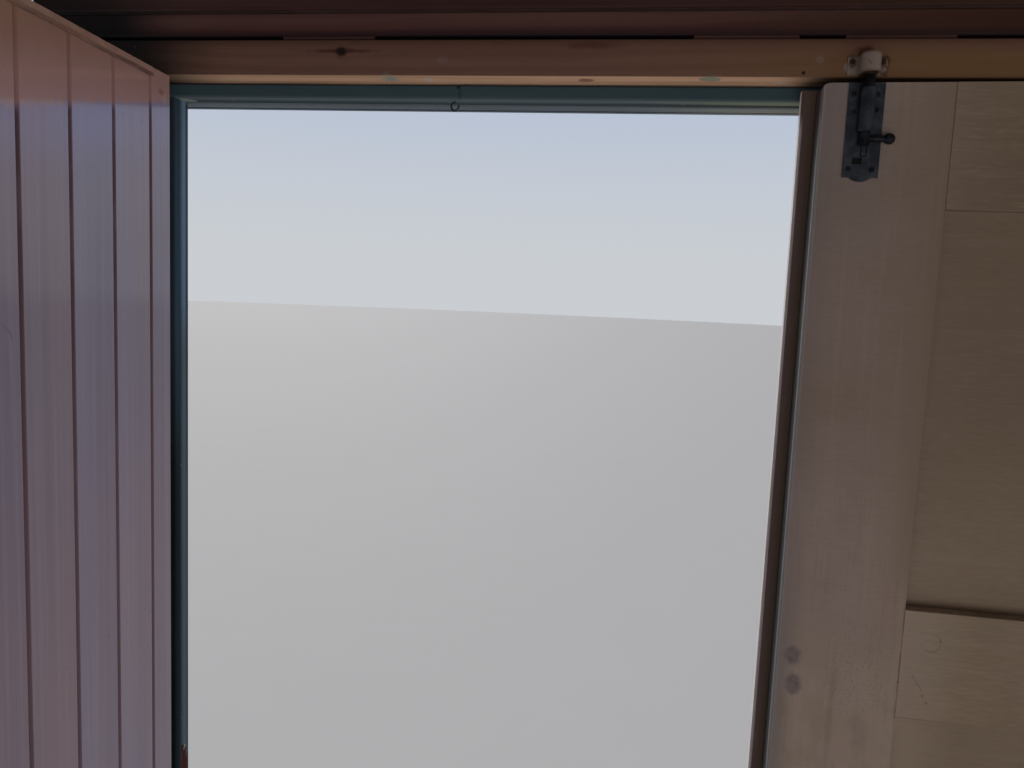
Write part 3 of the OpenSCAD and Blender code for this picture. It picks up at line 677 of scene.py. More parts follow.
# The filler's material: dark brown, standing for the shade in the joint.
dirt = Finish("joint_shade_filler")
dirt.colour = dirt.mix(dirt.noise(90, (0.2, 1, 1), 5), FILLER_SHADE_BROWN, FILLER_SHADE_PALE)
dirt.rough = 0.9
dirt.relief = dirt.noise(300, detail=4) * 0.5
# Painted shade: the left end is painted black.
dirt.cover(dirt.rise(dirt.x, -0.66, -0.86) * 0.85, SHADE_BLACK)
joint_shade_filler = new_piece("joint_shade_filler", filler_shape, dirt)
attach(joint_shade_filler, "frame")

# Nails of the inner timbers
# Wire nails with dark rusty heads, driven through the upper boards into the studs and through
# the batten, and three more in the header.

OLD_RUST = (0.022, 0.012, 0.010)
NEW_RUST = (0.085, 0.034, 0.018)
rusty_nail = Finish("rusty_nails")
bloom = rusty_nail.noise(500, detail=5)
rusty_nail.colour = rusty_nail.mix(bloom, OLD_RUST, NEW_RUST)
rusty_nail.rough = 0.6 + bloom * 0.3
rusty_nail.relief = bloom * 0.25
rusty_nail.link("Metallic", 0.3)
batten_low, batten_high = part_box("head_batten")
inner_spots = [(-0.8058, 1.7772), (-0.0171, 1.7492), (0.66, 1.7690)]
inner_spots += [(x, (batten_low.z + batten_high.z) / 2) for x in (-0.905, 0.47, 0.80)]
for board in ("upper_board_low", "upper_board_high"):
    low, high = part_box(board)
    inner_spots += [(x, z) for x in (-0.922, -0.558, 0.558, 0.922)
                    for z in (low.z + NAIL_FROM_SIDE, high.z - NAIL_FROM_SIDE)]
heads("inner_nails", [((x, NAIL_SUNK, z), (0, -1, 0)) for x, z in inner_spots], rusty_nail,
      "frame", radius=0.0021, height=0.0008)

# Hinges
# Three pressed steel butts a side. The frame halves carry the pins, the leaf halves turn
# on them, and each plate is held by slotted screws.

left_pin, right_pin = (Vector(j["pos_m"][:2]) for j in frame["joints"][:2])
OPEN_ANGLE = math.radians(-frame["joints"][0]["range_deg"][0])
PLACES = {"left": dict(origin=(left_pin.x, left_pin.y, 0), turn=-OPEN_ANGLE),
          "right": dict(origin=(right_pin.x, right_pin.y, 0), flip=True)}
SHUT_TO_DOORWAY = {
    "left": Matrix.Translation((left_pin.x, left_pin.y, 0)),
    "right": Matrix.Translation((right_pin.x, right_pin.y, 0)) @ Matrix.Scale(-1, 4, (1, 0, 0)),
}
LEAF_TO_DOORWAY = {
    "left": SHUT_TO_DOORWAY["left"] @ Matrix.Rotation(-OPEN_ANGLE, 4, "Z"),
    "right": SHUT_TO_DOORWAY["right"],
}
HINGE_RUST = (0.10, 0.038, 0.020)
DARK_RUST = (0.036, 0.028, 0.027)


def steel(name, dark, light, rust_share=0.33, rough=0.42, rust_tint=DARK_RUST):
    """Bare steel with a worn sheen, dull patches and rust in spots."""
    metal = Finish(name)
    patches = metal.noise(60, detail=5)
    metal.colour = metal.mix(metal.rise(patches, 0.35, 0.7), dark, light)
    metal.rough = rough + patches * 0.15
    metal.relief = metal.noise(700, detail=3) * 0.05
    rust = metal.rise(metal.noise(130, detail=6, shift=2.5), 1.0 - rust_share, 1.06 - rust_share)
    metal.cover(rust, rust_tint, 0.4, 0.15)
    metal.link("Metallic", 0.85 - rust * 0.8)
    return metal


hinge_steel = steel("hinge_steel", (0.20, 0.20, 0.20), (0.42, 0.41, 0.40), 0.42, 0.30, HINGE_RUST)
for hinge in ("left_frame_hinges", "right_frame_hinges", "left_leaf_hinges", "right_leaf_hinges"):
    dress(hinge, hinge_steel)

LEAF_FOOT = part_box("right_hinge_stile")[0].z
LEAF_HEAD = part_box("right_hinge_stile")[1].z
HINGE_FROM_END = 0.190
HINGE_FACE = 0.0007
HINGE_SCREWS = ((0.013, -0.026), (0.024, -0.010), (0.013, 0.010), (0.024, 0.026))
hinge_heights = spaced(LEAF_FOOT + HINGE_FROM_END, LEAF_HEAD - HINGE_FROM_END, 3)
for side in ("left", "right"):
    for part, body, to_doorway, facing in (("frame", "frame", SHUT_TO_DOORWAY[side], 1),
                                           ("leaf", side + "_leaf", LEAF_TO_DOORWAY[side], -1)):
        facing_way = to_doorway.to_3x3() @ Vector((facing, 0, 0))
        spots = [(to_doorway @ Vector((-facing * HINGE_FACE, y, z + rise)), facing_way)
                 for z in hinge_heights for y, rise in HINGE_SCREWS]
        heads(f"{side}_{part}_hinge_screws", spots, hinge_steel, body,
              radius=0.0030, height=0.0004, slot=0.0009)

# Leaf framework
# Stiles and rails of planed softwood, jointed flush and painted off-white by hand. The inner
# faces are dull and browner away from the meeting edge, a band of painted shade darkens them
# high up, the top rail's underside is painted darker as shade, and dust lies on the middle rail.

LEAF_PINK = (0.480, 0.365, 0.330)
LEAF_BLUISH = (0.420, 0.360, 0.390)
LEAF_BROWN = (0.420, 0.308, 0.195)
LEAF_GRIME = (0.320, 0.232, 0.165)
LEAF_DABS_AND_SHADE = (0.215, 0.158, 0.110)
LEAF_CLEAN = (0.700, 0.560, 0.440)
LEAF_SPECK = (0.19, 0.14, 0.10)
LEAF_SPLASH = (0.24, 0.20, 0.155)
LEAF_UNDER_SHADE = (0.28, 0.215, 0.150)
LEDGE_DUST = (0.200, 0.128, 0.086)
LEDGE_DUST_PALE = (0.380, 0.260, 0.175)
BARE_EDGE = (0.150, 0.105, 0.080)
MEETING_EDGE = right_pin.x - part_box("right_meeting_stile")[0].x


def leaf_box(side, node):
    """Box of a leaf's node in the leaf's own frame, with the hinge pin at the origin."""
    back = LEAF_TO_DOORWAY[side].inverted()
    points = [back @ v.co for v in nodes[node].data.vertices]
    low = Vector(min(p[i] for p in points) for i in range(3))
    high = Vector(max(p[i] for p in points) for i in range(3))
    return low, high


def leaf_paint(name, side, box, along):
    """Off-white brushed paint on one timber of a leaf: brush marks, grime, worn arrises and a
    band of painted shade high up.
    """
    paint = Finish("leaf_paint_" + name, **PLACES[side])
    brush = paint.noise(380, ALONG[along], 3)
    grime = paint.noise(6, detail=5, shift=4.4)
    aged = paint.rise(paint.x + (grime - 0.5) * 0.10, MEETING_EDGE - 0.06, MEETING_EDGE - 0.22)
    paint.colour = paint.mix(aged, LEAF_PINK, LEAF_BROWN)
    near_edge = paint.rise(paint.x, MEETING_EDGE - 0.090, MEETING_EDGE - 0.045)
    paint.cover(paint.rise(paint.z, 1.53, 1.66) * near_edge * 0.55, LEAF_BLUISH)
    paint.cover(paint.rise(grime, 0.42, 0.80) * 0.60, LEAF_GRIME, 0.06)
    # Painted shade: a dark band high up on the inner faces.
    shade_band = paint.rise(paint.z, 1.17, 1.42) * paint.rise(paint.z, 1.96, 1.62)
    paint.cover(shade_band * (0.34 + aged * 0.37), LEAF_DABS_AND_SHADE)
    paint.cover(paint.rise(brush, 0.46, 0.76) * 0.26, LEAF_GRIME)
    combed = paint.noise(120, ALONG[along], 3, shift=2.3)
    paint.cover(paint.rise(combed, 0.50, 0.74) * 0.08, LEAF_CLEAN)
    weave = paint.noise(120, (0.25, 1, 1), 3, shift=6.1)
    paint.cover(paint.rise(weave, 0.52, 0.80) * 0.14, LEAF_GRIME)
    dabs = paint.noise(430, (0.14, 1, 1), 3, shift=7.3)
    heavy = 1.0 if along == "x" else 0.4
    paint.cover(paint.rise(dabs, 0.50, 0.72) * 0.22 * heavy, LEAF_DABS_AND_SHADE)
    paint.cover(paint.rise(dabs, 0.48, 0.28) * 0.13 * heavy, LEAF_CLEAN)
    paint.rough = 0.46 + paint.noise(40, detail=3) * 0.16
    paint.relief = brush * 0.12 + dabs * 0.12 + paint.noise(24, detail=3) * 0.25
    rubbed = paint.arris(box)
    paint.cover(paint.rise(rubbed + paint.sway(0.002, 90, detail=3), 0.0009, 0.0) * 0.30,
                BARE_EDGE)
    specks = paint.rise(paint.noise(330, detail=1, shift=5.1), 0.745, 0.765)
    paint.cover(specks * 0.40, LEAF_SPECK)
    paint.cover(paint.splashed(0.3, 12, 0.30, 0.06) * 0.45, LEAF_SPLASH)
    return paint


RAILS = ("top_rail", "middle_rail", "bottom_rail")
for side in ("left", "right"):
    for part in ("hinge_stile", "meeting_stile") + RAILS:
        node = f"{side}_{part}"
        if node == "right_meeting_stile":
            continue
        low, high = leaf_box(side, node)
        paint = leaf_paint(node, side, (low, high), "x" if part in RAILS else "z")
        if part == "middle_rail":
            ledge = paint.rise(paint.z, high.z - 0.0012, high.z - 0.0004)
            dust = ledge * paint.rise(paint.noise(30, detail=4), 0.25, 0.55)
            paint.cover(dust * 0.9, paint.mix(paint.noise(160, detail=3), LEDGE_DUST,
                                              LEDGE_DUST_PALE), 0.3)
        if node == "right_middle_rail":
            paint.cover(paint.rise(paint.x, 0.585, 0.655) * 0.24, LEAF_CLEAN)
            ring = abs(paint.near((0.6361, low.y, 1.1274), (0.0106, 0.05, 0.0106)) - 1)
            ring = paint.rise(ring, 0.16, 0.02) * paint.rise(paint.noise(60, shift=3), 0.35, 0.6)
            paint.cover(ring * 0.30, BARE_EDGE)
            scored = paint.scratch((0.6527, low.y, 1.0877), (0.6406, low.y, 1.0693), 0.0011)
            paint.cover(scored * 0.30, BARE_EDGE)
            fading = paint.rise(paint.x, 0.555, 0.660) * paint.rise(paint.y, low.y + 0.002, low.y)
            lower_edge = paint.rise(paint.z, low.z + 0.0016, low.z + 0.0004)
            paint.cover(lower_edge * fading * 0.7, BARE_EDGE)
            for x, z, radius in ((0.6263, 1.1299, 0.0013), (0.6396, 1.0644, 0.0015),
                                 (0.6348, 1.0565, 0.0013)):
                dot = paint.mark((x, low.y, z), (radius, 0.01, radius), 0.3)
                paint.cover(dot * 0.6, BARE_EDGE)
        if node == "right_top_rail":
            dot = paint.mark((0.6617, low.y, 1.6034), (0.0018, 0.01, 0.0018))
            paint.cover(dot * 0.7, BARE_EDGE)
            # Painted shade: the underside is painted darker.
            paint.cover(paint.rise(paint.z, low.z + 0.0012, low.z + 0.0004), LEAF_UNDER_SHADE)
        dress(node, paint)

# Right meeting stile
# The stile beside the meeting line. Its free edge is painted a grey made pale to stand in for
# the light glancing in from the opening, with painted shade at its top under the header, and a
# painted highlight runs along the arris beside it. Two knots have bled through beside the middle
# rail, and the wood behind the bolt is dark.

STILE_EDGE_GREY_LIT = (0.36, 0.36, 0.37)
STILE_EDGE_GREY_LIT_DULL = (0.32, 0.31, 0.31)
STILE_EDGE_SHADED = (0.190, 0.145, 0.120)
STILE_MOTTLE = (0.375, 0.312, 0.215)
STILE_RUN = (0.250, 0.190, 0.160)
KNOT_SPREAD = (0.33, 0.26, 0.29)
KNOT_BLED = (0.215, 0.160, 0.165)
KNOT_CLOT = (0.110, 0.078, 0.082)
SPATTER = (0.22, 0.165, 0.13)
OLD_STAIN = (0.27, 0.20, 0.25)
STILE_BLEND = (0.300, 0.232, 0.160)
HANDLED_GREY = (0.245, 0.212, 0.205)
LIP_HIGHLIGHT = (0.440, 0.430, 0.440)
BARE_DARK = (0.045, 0.036, 0.030)
BOLT_SHADE = (0.006, 0.005, 0.005)
node = "right_meeting_stile"
low, high = leaf_box("right", node)
stile = leaf_paint(node, "right", (low, high), "z")
lower = stile.rise(stile.z + stile.sway(0.06, 20, detail=3), 1.16, 1.04)
lower = lower * stile.rise(stile.z, 0.62, 0.90)
stile.cover(lower * 0.40, LEAF_CLEAN)
threads = stile.noise(300, (1, 1, 0.05), 3, shift=4.9)
stile.cover(lower * stile.rise(threads, 0.50, 0.72) * 0.12, LEAF_GRIME)
mottled = stile.rise(stile.noise(34, (1, 1, 0.6), 5, shift=7.7), 0.45, 0.66)
stile.cover(lower * mottled * 0.45, STILE_MOTTLE)
run = stile.mark((0.7377, low.y, 1.020), (0.0055, 0.02, 0.095), 0.7, 45, 0.9)
stile.cover(run * 0.34, STILE_RUN)
for x, z, tall in ((0.7846, 1.0966, 0.0120), (0.7809, 1.0620, 0.0145)):
    halo = stile.mark((x - 0.003, low.y, z), (0.0170, 0.02, tall * 1.25), 0.4, 90, 0.9)
    stile.cover(halo * 0.30, KNOT_SPREAD)
    stile.cover(stile.mark((x, low.y, z), (0.0110, 0.02, tall), 0.35, 150, 0.6) * 0.72, KNOT_BLED)
    clots = stile.rise(stile.noise(190, detail=3, shift=z), 0.48, 0.64)
    stile.cover(stile.mark((x, low.y, z), (0.0090, 0.02, tall), 0.3, 150, 0.6) * clots * 0.40,
                KNOT_CLOT)
spots = stile.rise(stile.noise(400, (1, 1, 0.7), 3, shift=1.9), 0.50, 0.66)
spattered = stile.mark((0.7133, low.y, 1.0745), (0.046, 0.02, 0.078), 0.5, 30, 0.8)
stile.cover(spots * spattered * 0.30, SPATTER)
faint_stain = stile.mark((0.704, low.y, 1.010), (0.012, 0.02, 0.030), 0.5, 60, 0.9)
stile.cover(faint_stain * 0.22, OLD_STAIN)
joint = stile.rise(stile.x, low.x + 0.0024, low.x + 0.0004)
broken = stile.rise(stile.noise(75, (1, 1, 0.4), 4, shift=8.3), 0.36, 0.56)
beside_rail = stile.rise(stile.z, 1.600, 1.612) + stile.within(stile.z, 1.035, 1.163, 0.003)
stile.cover(joint * broken * (0.08 + beside_rail.least(1.0) * 0.44), BARE_EDGE)
blended = stile.rise(stile.x, low.x + 0.030, low.x) * stile.rise(stile.z, 1.17, 1.22)
stile.cover(blended * 0.45, STILE_BLEND)
stile.cover(stile.mark((0.6668, low.y, 1.0777), (0.0016, 0.01, 0.0016)), BARE_EDGE)
# Free edge: grey paint, pale as painted light from the opening; painted shade at its top.
side_face = stile.rise(stile.x, high.x - 0.0022, high.x - 0.0012)
shaded_top = stile.rise(stile.z + stile.sway(0.03, 60, detail=4), 1.690, 1.712)
stile.cover(side_face, stile.mix(stile.noise(90, ALONG["z"], 4), STILE_EDGE_GREY_LIT, STILE_EDGE_GREY_LIT_DULL))
stile.cover(side_face * shaded_top * 0.8, STILE_EDGE_SHADED)
unpainted = stile.rise(stile.y + stile.sway(0.006, 50, ALONG["z"], 4), low.y + 0.0005,
                       low.y + 0.009)
handled = stile.rise(stile.x, high.x - 0.030, high.x - 0.004) * (1 - side_face)
stile.cover(handled * (0.34 + stile.rise(stile.z, 1.35, 1.05) * 0.30), HANDLED_GREY)
# Painted highlight along the front arris beside the free edge.
lit_lip = stile.rise(stile.x, high.x - 0.0042, high.x - 0.0026) * (1 - side_face)
stile.cover(lit_lip * 0.50, LIP_HIGHLIGHT)
stile.cover(side_face * unpainted, BARE_DARK, 0.2)
behind_bolt = stile.within(stile.x, 0.7420, 0.7730, 0.0015)
behind_bolt = behind_bolt * stile.within(stile.z, 1.645, 1.735, 0.0015)
behind_bolt = behind_bolt * stile.rise(stile.y, low.y + 0.002, low.y + 0.001)
stile.cover(behind_bolt, BOLT_SHADE, 0.3)
dress(node, stile)

# Lining panels
# Thin sheets that line the boards between the rails, painted with the framework. They sit
# back from it, and are darker along their lower edges.

PANEL_LOW_EDGE_DARK = (0.205, 0.145, 0.102)
for side in ("left", "right"):
    for part in ("upper_panel", "lower_panel"):
        node = f"{side}_{part}"
        low, high = leaf_box(side, node)
        paint = leaf_paint(node, side, (low, high), "x")
        lines = paint.noise(150, (0.05, 1, 1), 3, shift=3.3)
        paint.cover(0.30 + paint.rise(lines, 0.48, 0.78) * 0.25, LEAF_GRIME)
        # A darker band along the lower edge.
        low_edge = paint.z + paint.sway(0.008, 50, (0.3, 1, 1), 4)
        paint.cover(paint.rise(low_edge, low.z + 0.010, low.z + 0.001) * 0.65, PANEL_LOW_EDGE_DARK, 0.2)
        if node == "right_lower_panel":
            paint.cover(paint.rise(paint.x, 0.585, 0.655) * 0.30, LEAF_CLEAN)
        paint.relief = paint.relief + lines * 0.12
        dress(node, paint)

# Boards
# Narrow V-jointed boards nailed upright to the framework and painted pinkish white. The
# gloss has held on the faces, and brown dirt and bare wood show in the V of every joint. A
# painted reflection of the sky turns them blue and lilac below the line of the header's shade,
# and two boards carry a painted sheen.

BOARD_TAN = (0.480, 0.268, 0.208)
TAN_LOW = (0.570, 0.318, 0.288)
TAN_HIGH = (0.445, 0.240, 0.160)
BOARD_REFLECTED_BLUE = (0.340, 0.295, 0.530)
BOARD_REFLECTED_LILAC = (0.275, 0.220, 0.320)
BOARD_REFLECTED_MAUVE = (0.210, 0.158, 0.238)
BOARD_PINK = (0.260, 0.168, 0.228)
BOARD_SWEPT = (0.42, 0.33, 0.38)
STROKE_PALE = (0.400, 0.350, 0.375)
STROKE_DARK = (0.175, 0.125, 0.160)
BOARD_SHEEN = (0.44, 0.40, 0.56)
JOINT_BROWN = (0.178, 0.104, 0.110)
JOINT_PALE = (0.260, 0.165, 0.190)
TOP_LINE_BROWN = (0.150, 0.076, 0.064)
TOP_BAND_TAN = (0.60, 0.42, 0.30)
CHIPPED_WOOD = (0.17, 0.11, 0.09)
BOARD_SPLASH = (0.24, 0.20, 0.17)
CORNER_RUST = (0.290, 0.115, 0.075)
CORNER_BARE = (0.62, 0.50, 0.34)
SCRATCH_DARK = (0.13, 0.09, 0.09)
SCRATCH_DEEP = (0.11, 0.07, 0.07)
SHADE_SLANT = 0.2245
BOARD_COVER = 0.078
FIRST_JOINT = 0.0485
JOINT_HALF = 0.0035
TOP_BAND = 0.010
TOP_LINE = 0.0075
NAIL_SPREAD = 0.020
NAIL_FROM_END = 0.008
NAIL_HEIGHTS = (LEAF_HEAD - 0.066, LEAF_HEAD - 0.641, LEAF_FOOT + 0.080)


def board_paint(name, side, box):
    """Gloss paint on V-jointed boards, board by board: a painted reflection of the sky makes it
    blue below the line of the header's shade and tan above it, fading through lilac and mauve
    to pinker paint towards the foot, with a painted sheen on two boards."""
    paint = Finish("board_paint_" + name, **PLACES[side])
    low, high = box
    count = (paint.x - FIRST_JOINT) / BOARD_COVER
    off_joint = abs(count - count.math("ROUND", count)) * BOARD_COVER
    which = count.math("FLOOR", count)
    tone = paint.node("TexWhiteNoise", {"noise_dimensions": "1D"}, {"W": which})
    brush = paint.noise(360, (1, 1, 0.02), 3)
    sweep = paint.noise(26, (1, 1, 0.05), 3, shift=2.0)
    blotch = paint.noise(7, (1, 1, 0.5), 5, shift=6.6)
    slant = SHADE_SLANT if side == "left" else 0.0
    shaded = paint.z + paint.x * slant + paint.sway(0.014, 110, detail=6)
    # Painted reflection of the sky: blue, lilac and mauve below the line of the header's shade.
    paint.colour = paint.mix(paint.rise(shaded, 1.700, 1.630), BOARD_REFLECTED_BLUE, BOARD_REFLECTED_LILAC)
    paint.cover(paint.rise(shaded, 1.640, 1.540), BOARD_REFLECTED_MAUVE)
    paint.cover(paint.rise(shaded, 1.500, 1.220), BOARD_PINK)
    paint.cover(paint.rise(tone * 0.35 + blotch * 0.65, 0.40, 0.75) * 0.30, BOARD_TAN)
    paint.cover(paint.rise(paint.x, 0.35, 0.80) * 0.35, BOARD_TAN)
    paint.cover(paint.rise(sweep, 0.5, 0.78) * 0.18, BOARD_SWEPT)
    strokes = paint.noise(120, (1, 1, 0.014), 4, shift=8.8)
    paint.cover(paint.rise(strokes, 0.48, 0.72) * 0.20, STROKE_PALE)
    paint.cover(paint.rise(strokes, 0.50, 0.30) * 0.16, STROKE_DARK)
    # Painted sheen on the two boards after the hinge strip, rising across each board.
    bright_boards = paint.within(paint.x, FIRST_JOINT, FIRST_JOINT + 2 * BOARD_COVER, 0.001)
    sheen = paint.rise(count - which, 0.15, 1.0) * bright_boards
    paint.cover(sheen * 0.22, BOARD_SHEEN)
    paint.cover(paint.rise(shaded, 1.704, 1.714),
                paint.mix(paint.rise(shaded, 1.715, 1.790), TAN_LOW, TAN_HIGH))
    paint.rough = 0.34 + blotch * 0.12
    paint.relief = brush * 0.10 + strokes * 0.12 + sweep * 0.10 + tone * 0.3
    outer = paint.rise(paint.y, high.y - 0.0042, high.y - 0.0036)
    jointed = paint.rise(paint.x, FIRST_JOINT - 0.01, FIRST_JOINT - 0.005)
    joint = outer * jointed * paint.rise(off_joint, JOINT_HALF + 0.0004, JOINT_HALF - 0.0012)
    joint = joint * paint.rise(paint.z, high.z - TOP_BAND + 0.0005, high.z - TOP_BAND - 0.0010)
    thin = paint.rise(paint.noise(90, (1, 1, 0.2), 4), 0.30, 0.50)
    paint.cover(joint * (0.70 + thin * 0.30) * paint.rise(shaded, 1.716, 1.700).most(0.25),
                paint.mix(paint.rise(paint.z, 1.56, 1.16), JOINT_BROWN, JOINT_PALE), 0.3)
    wavy = paint.z + paint.sway(0.004, 22, detail=3, shift=4.2)
    top_line = paint.within(wavy, high.z - TOP_LINE - 0.0018, high.z - TOP_LINE + 0.0004, 0.0019)
    broken = paint.rise(paint.noise(28, detail=4, shift=3.7), 0.36, 0.60)
    at_edge = paint.rise(paint.x, 0.20, 0.05)
    paint.cover(top_line * outer * jointed * (0.20 + broken * 0.25 + at_edge * 0.45),
                TOP_LINE_BROWN, 0.2)
    paint.cover(paint.rise(wavy, high.z - TOP_LINE, high.z - TOP_LINE + 0.003) * broken * 0.35,
                TOP_BAND_TAN)
    edge = paint.arris(box)
    chips = paint.rise(paint.noise(110, detail=5) * 0.007 - edge, 0.0036, 0.0040)
    paint.cover(chips * 0.7, CHIPPED_WOOD, 0.3, -0.1)
    paint.cover(paint.splashed(0.34, 13, 0.34, 0.06) * 0.5, BOARD_SPLASH, 0.2)
    cracks = paint.rise(paint.noise(46, (1, 1, 0.06), 6, shift=9.2), 0.745, 0.760)
    paint.cover(cracks * 0.35, JOINT_BROWN, raised=-0.1)
    paint.link("Coat Weight", (1 - joint) * 0.9)
    paint.link("Coat Roughness", 0.10)
    paint.link("Coat IOR", 1.6)
    paint.link("Specular IOR Level", 0.15)
    return paint


for side in ("left", "right"):
    node = f"{side}_boards"
    low, high = leaf_box(side, node)
    boards = board_paint(node, side, (low, high))
    if side == "left":
        for x, z, radii, share, tint, duller in (
                (0.0230, 1.7165, (0.0075, 0.01, 0.0055), 0.65, CORNER_RUST, 0.3),
                (0.0150, 1.7100, (0.0080, 0.01, 0.0045), 0.5, CORNER_BARE, 0.2)):
            boards.cover(boards.mark((x, high.y, z), radii, 0.7, 160, 0.9) * share, tint, duller)
        start, bend, end = ((x, high.y, z) for x, z in (
            (0.3077, 1.4515), (0.2990, 1.4450), (0.2964, 1.4377)))
        boards.cover(boards.scratch(start, bend, 0.0009) * 0.5, SCRATCH_DARK)
        boards.cover(boards.scratch(bend, end, 0.0010) * 0.7, SCRATCH_DEEP)
    dress(node, boards)
    to_doorway = LEAF_TO_DOORWAY[side]
    facing = to_doorway.to_3x3() @ Vector((0, 1, 0))
    spots = []
    middle = FIRST_JOINT + BOARD_COVER / 2
    while middle < high.x:
        for z in NAIL_HEIGHTS:
            for x in (middle - NAIL_SPREAD, middle + NAIL_SPREAD):
                if x < high.x - NAIL_FROM_END:
                    spots.append((to_doorway @ Vector((x, high.y - NAIL_SUNK, z)), facing))
        middle += BOARD_COVER
    heads(f"{side}_board_nails", spots, boards, f"{side}_leaf",
          radius=0.0020, height=0.0005)

# Cover strip
# The last board of the right leaf, left square-edged to lap over the rebate of the left
# leaf. It is painted outside and on its edge, and bare and dark inside; the edge and a thin
# rim of the inside beside it, below the header's shade, are painted near white as a painted
# highlight.

STRIP_RED = (0.200, 0.134, 0.122)
STRIP_DARK = (0.212, 0.144, 0.100)
STRIP_EDGE_LIT = (0.92, 0.85, 0.82)
STRIP_RIM_LIT = (0.90, 0.82, 0.79)
low, high = leaf_box("right", "right_cover_strip")
strip = Finish("board_paint_cover_strip", **PLACES["right"])
blotch = strip.noise(7, (1, 1, 0.5), 5, shift=6.6)
strip.colour = strip.mix(strip.rise(blotch, 0.36, 0.70) * 0.35 + 0.15, BOARD_PINK, BOARD_TAN)
strip.rough = 0.30 + blotch * 0.12
strip.relief = strip.noise(360, (1, 1, 0.02), 3) * 0.10
strip.cover(strip.splashed(0.34, 13, 0.34, 0.06) * 0.5, BOARD_SPLASH, 0.2)
# Painted highlight: the edge is painted near white.
strip.cover(strip.rise(strip.x, high.x - 0.0015, high.x - 0.0005), STRIP_EDGE_LIT)
inner = strip.rise(strip.y, low.y + 0.0009, low.y + 0.0003)
grain = strip.noise(260, (1, 1, 0.03), 4)
reddened = strip.rise(strip.x + (grain - 0.5) * 0.008, MEETING_EDGE + 0.001, MEETING_EDGE + 0.009)
strip.cover(inner, strip.mix(reddened, STRIP_DARK, STRIP_RED), 0.35)
strip.cover(inner * strip.rise(grain, 0.45, 0.75) * 0.4, STRIP_DARK, raised=0.1)
# Painted highlight: a thin rim of the inside next to the edge, below the header's shade.
lit_rim = strip.x + strip.sway(0.0016, 60, ALONG["z"], 4)
lit_rim = strip.rise(lit_rim, high.x - 0.0034, high.x - 0.0022) * strip.rise(strip.z, 1.715, 1.690)
strip.cover(inner * lit_rim, STRIP_RIM_LIT)
strip.relief = strip.relief - inner * strip.rise(strip.x, high.x - 0.0038, high.x) * 3.0
dress("right_cover_strip", strip)

# Tower bolt
# A japanned steel bolt screwed to the right leaf's meeting stile: pierced back plate, barrel
# with a side slot, and a round rod with an arm and a ball knob, all dulled with age.

PLATE_FACE = -0.010
ROD_SHADE = (0.008, 0.009, 0.013)
dress("bolt_plate", steel("aged_steel_bolt", (0.049, 0.057, 0.076), (0.106, 0.120, 0.148)))
rod_metal = steel("aged_steel_rod", (0.013, 0.014, 0.020), (0.050, 0.056, 0.072))
rod_metal.cover(rod_metal.rise(rod_metal.z, 1.7365, 1.7395), ROD_SHADE, 0.1)
dress("bolt_rod", rod_metal)
screw_metal = steel("aged_steel_screws", (0.018, 0.019, 0.026), (0.046, 0.048, 0.058), 0.40, 0.50)
plate_spots = [((x, PLATE_FACE + NAIL_SUNK, z), (0, -1, 0)) for x, z in (
    (0.0350, 1.7252), (0.0590, 1.7248), (0.0366, 1.7065), (0.0590, 1.7088),
    (0.0356, 1.6471), (0.0597, 1.6466))]
heads("bolt_plate_screws", plate_spots, screw_metal, "right_leaf",
      radius=0.0028, height=0.0011, slot=0.0008)

# Keeper
# A pressed staple screwed to the header for the rod to slide into, painted white in place.
# Rust from its two screws has run down the paint and stained the wood above it.

KEEPER_WHITE = (0.41, 0.34, 0.285)
KEEPER_DIRTY = (0.29, 0.22, 0.175)
KEEPER_RUST = (0.105, 0.040, 0.022)
EAR_REACH = 0.0155
EAR_FACE = -0.002
SCREW_HEIGHT = 1.7608
keeper = Finish("keeper_paint")
low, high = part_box("bolt_keeper")
middle_x = (low.x + high.x) / 2
blisters = keeper.noise(170, detail=5)
keeper.colour = keeper.mix(keeper.noise(30, detail=4), KEEPER_WHITE, KEEPER_DIRTY)
keeper.rough = 0.36
keeper.relief = blisters * 0.25
keeper.cover(keeper.rise(blisters, 0.60, 0.68) * 0.6, KEEPER_RUST, 0.4)
height = keeper.z + keeper.sway(0.004, 90, detail=4)
keeper.cover(keeper.rise(height, high.z - 0.0035, high.z - 0.0005) * 0.65, KEEPER_RUST, 0.2)
keeper.cover(keeper.rise(height, low.z + 0.0030, low.z) * 0.35, KEEPER_RUST, 0.2)
for side in (-1, 1):
    weep = keeper.mark((middle_x + side * EAR_REACH, EAR_FACE, SCREW_HEIGHT - 0.001),
                       (0.0046, 0.01, 0.0070), 0.5, 220, 0.6)
    keeper.cover(weep * 0.85, KEEPER_RUST, 0.3)
right_ear = keeper.rise(keeper.x, middle_x + 0.0105, middle_x + 0.0125)
keeper.cover(right_ear * keeper.rise(blisters, 0.40, 0.52) * 0.9, KEEPER_RUST, 0.3)
dress("bolt_keeper", keeper)
keeper_spots = [((middle_x + side * EAR_REACH, EAR_FACE + NAIL_SUNK, SCREW_HEIGHT), (0, -1, 0))
                for side in (-1, 1)]
heads("keeper_screws", keeper_spots, rusty_nail, "frame",
      radius=0.0028, height=0.0011, slot=0.0008)

# Cup hook
# A small steel wire hook, blackened with age and screwed up into the underside of the head
# stop for something light to hang from.

dress("cup_hook", steel("aged_steel_hook", (0.040, 0.048, 0.056), (0.090, 0.105, 0.118), 0.36))

# Camera, floor and light
# Seen from just inside the doorway at eye level. A pale floor runs on under a soft bright
# backdrop outside, and the inside stays in half shade.

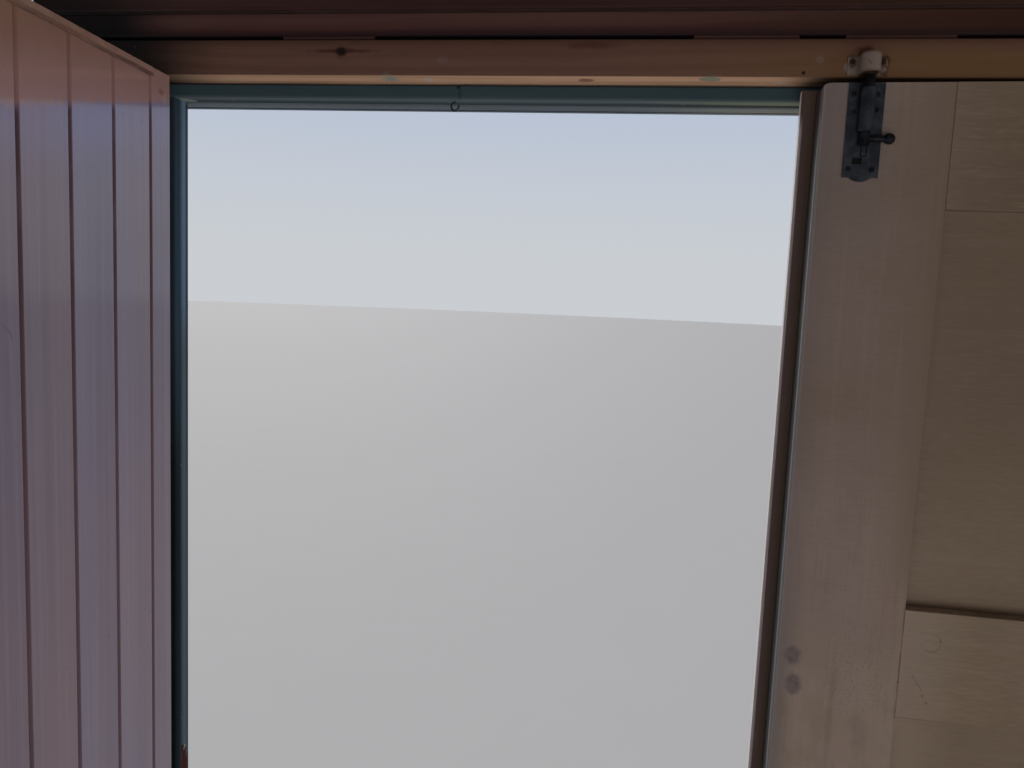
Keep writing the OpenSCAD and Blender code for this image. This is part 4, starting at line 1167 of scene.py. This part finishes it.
EYE = (-0.1781, -0.9592, 1.4989)
YAW = math.radians(8.523)
PITCH = math.radians(6.346)
ROLL = math.radians(2.493)
SENSOR_WIDTH = 36.0
LENS_LENGTH = 28.871
FLOOR_REACH = 60.0
FLOOR_PALE = (0.60, 0.570, 0.530)
FLOOR_PALER = (0.62, 0.590, 0.550)
INSIDE_LIGHT = (0.066, 0.055, 0.045)
OUTSIDE_LOW = (0.585, 0.612, 0.646)
OUTSIDE_HIGH = (0.38, 0.48, 0.68)
SUN_WAY = Vector((2.4, -4.4, -3.6))
FILL_PLACE = Vector((0.8, -2.2, 0.5))
FILL_AIM = Vector((0, 0, 1.2))

camera_data = bpy.data.cameras.new("camera")
camera_data.sensor_width = SENSOR_WIDTH
camera_data.lens = LENS_LENGTH
camera_data.clip_start = 0.01
camera_data.clip_end = 200.0
camera_data.dof.use_dof = False
camera = bpy.data.objects.new("camera", camera_data)
bpy.context.scene.collection.objects.link(camera)
camera.matrix_world = (
    Matrix.Translation(EYE) @ Matrix.Rotation(YAW, 4, "Z")
    @ Matrix.Rotation(math.pi / 2 - PITCH, 4, "X") @ Matrix.Rotation(ROLL, 4, "Z"))
bpy.context.scene.camera = camera

floor_shape = bmesh.new()
bmesh.ops.create_circle(floor_shape, cap_ends=True, segments=96, radius=FLOOR_REACH)
floor_paint = Finish("studio_floor")
floor_paint.colour = floor_paint.mix(floor_paint.noise(3), FLOOR_PALE, FLOOR_PALER)
floor_paint.rough = 0.8
floor = new_piece("floor", floor_shape, floor_paint)

world = bpy.data.worlds.new("studio")
bpy.context.scene.world = world
world.use_nodes = True
studio = Shading(world.node_tree)
towards = studio.node("TexCoord", {}, {}, "Generated")
ways = studio.node("SeparateXYZ", {}, {0: towards}).socket.node.outputs
outside = studio.mix(studio.rise(Field(studio, ways["Z"]), 0.02, 0.40), OUTSIDE_LOW, OUTSIDE_HIGH)
round_light = studio.mix(studio.rise(Field(studio, ways["Y"]), -0.45, 0.55), INSIDE_LIGHT, outside)
studio.tree.links.new(round_light.socket, studio.tree.nodes["Background"].inputs["Color"])

sun_data = bpy.data.lights.new("outside_light", "SUN")
sun_data.angle = math.radians(50)
sun_data.energy = 2.2
sun_data.color = (1.0, 0.96, 0.90)
fill_data = bpy.data.lights.new("inside_fill", "AREA")
fill_data.size = 1.6
fill_data.energy = 5.0
fill_data.color = (1.0, 0.90, 0.78)
for light_data, place, way in ((sun_data, -SUN_WAY, SUN_WAY),
                               (fill_data, FILL_PLACE, FILL_AIM - FILL_PLACE)):
    light = bpy.data.objects.new(light_data.name, light_data)
    bpy.context.scene.collection.objects.link(light)
    turned = way.to_track_quat("-Z", "Y").to_matrix().to_4x4()
    light.matrix_world = Matrix.Translation(place) @ turned

bpy.context.scene.view_settings.view_transform = "Standard"
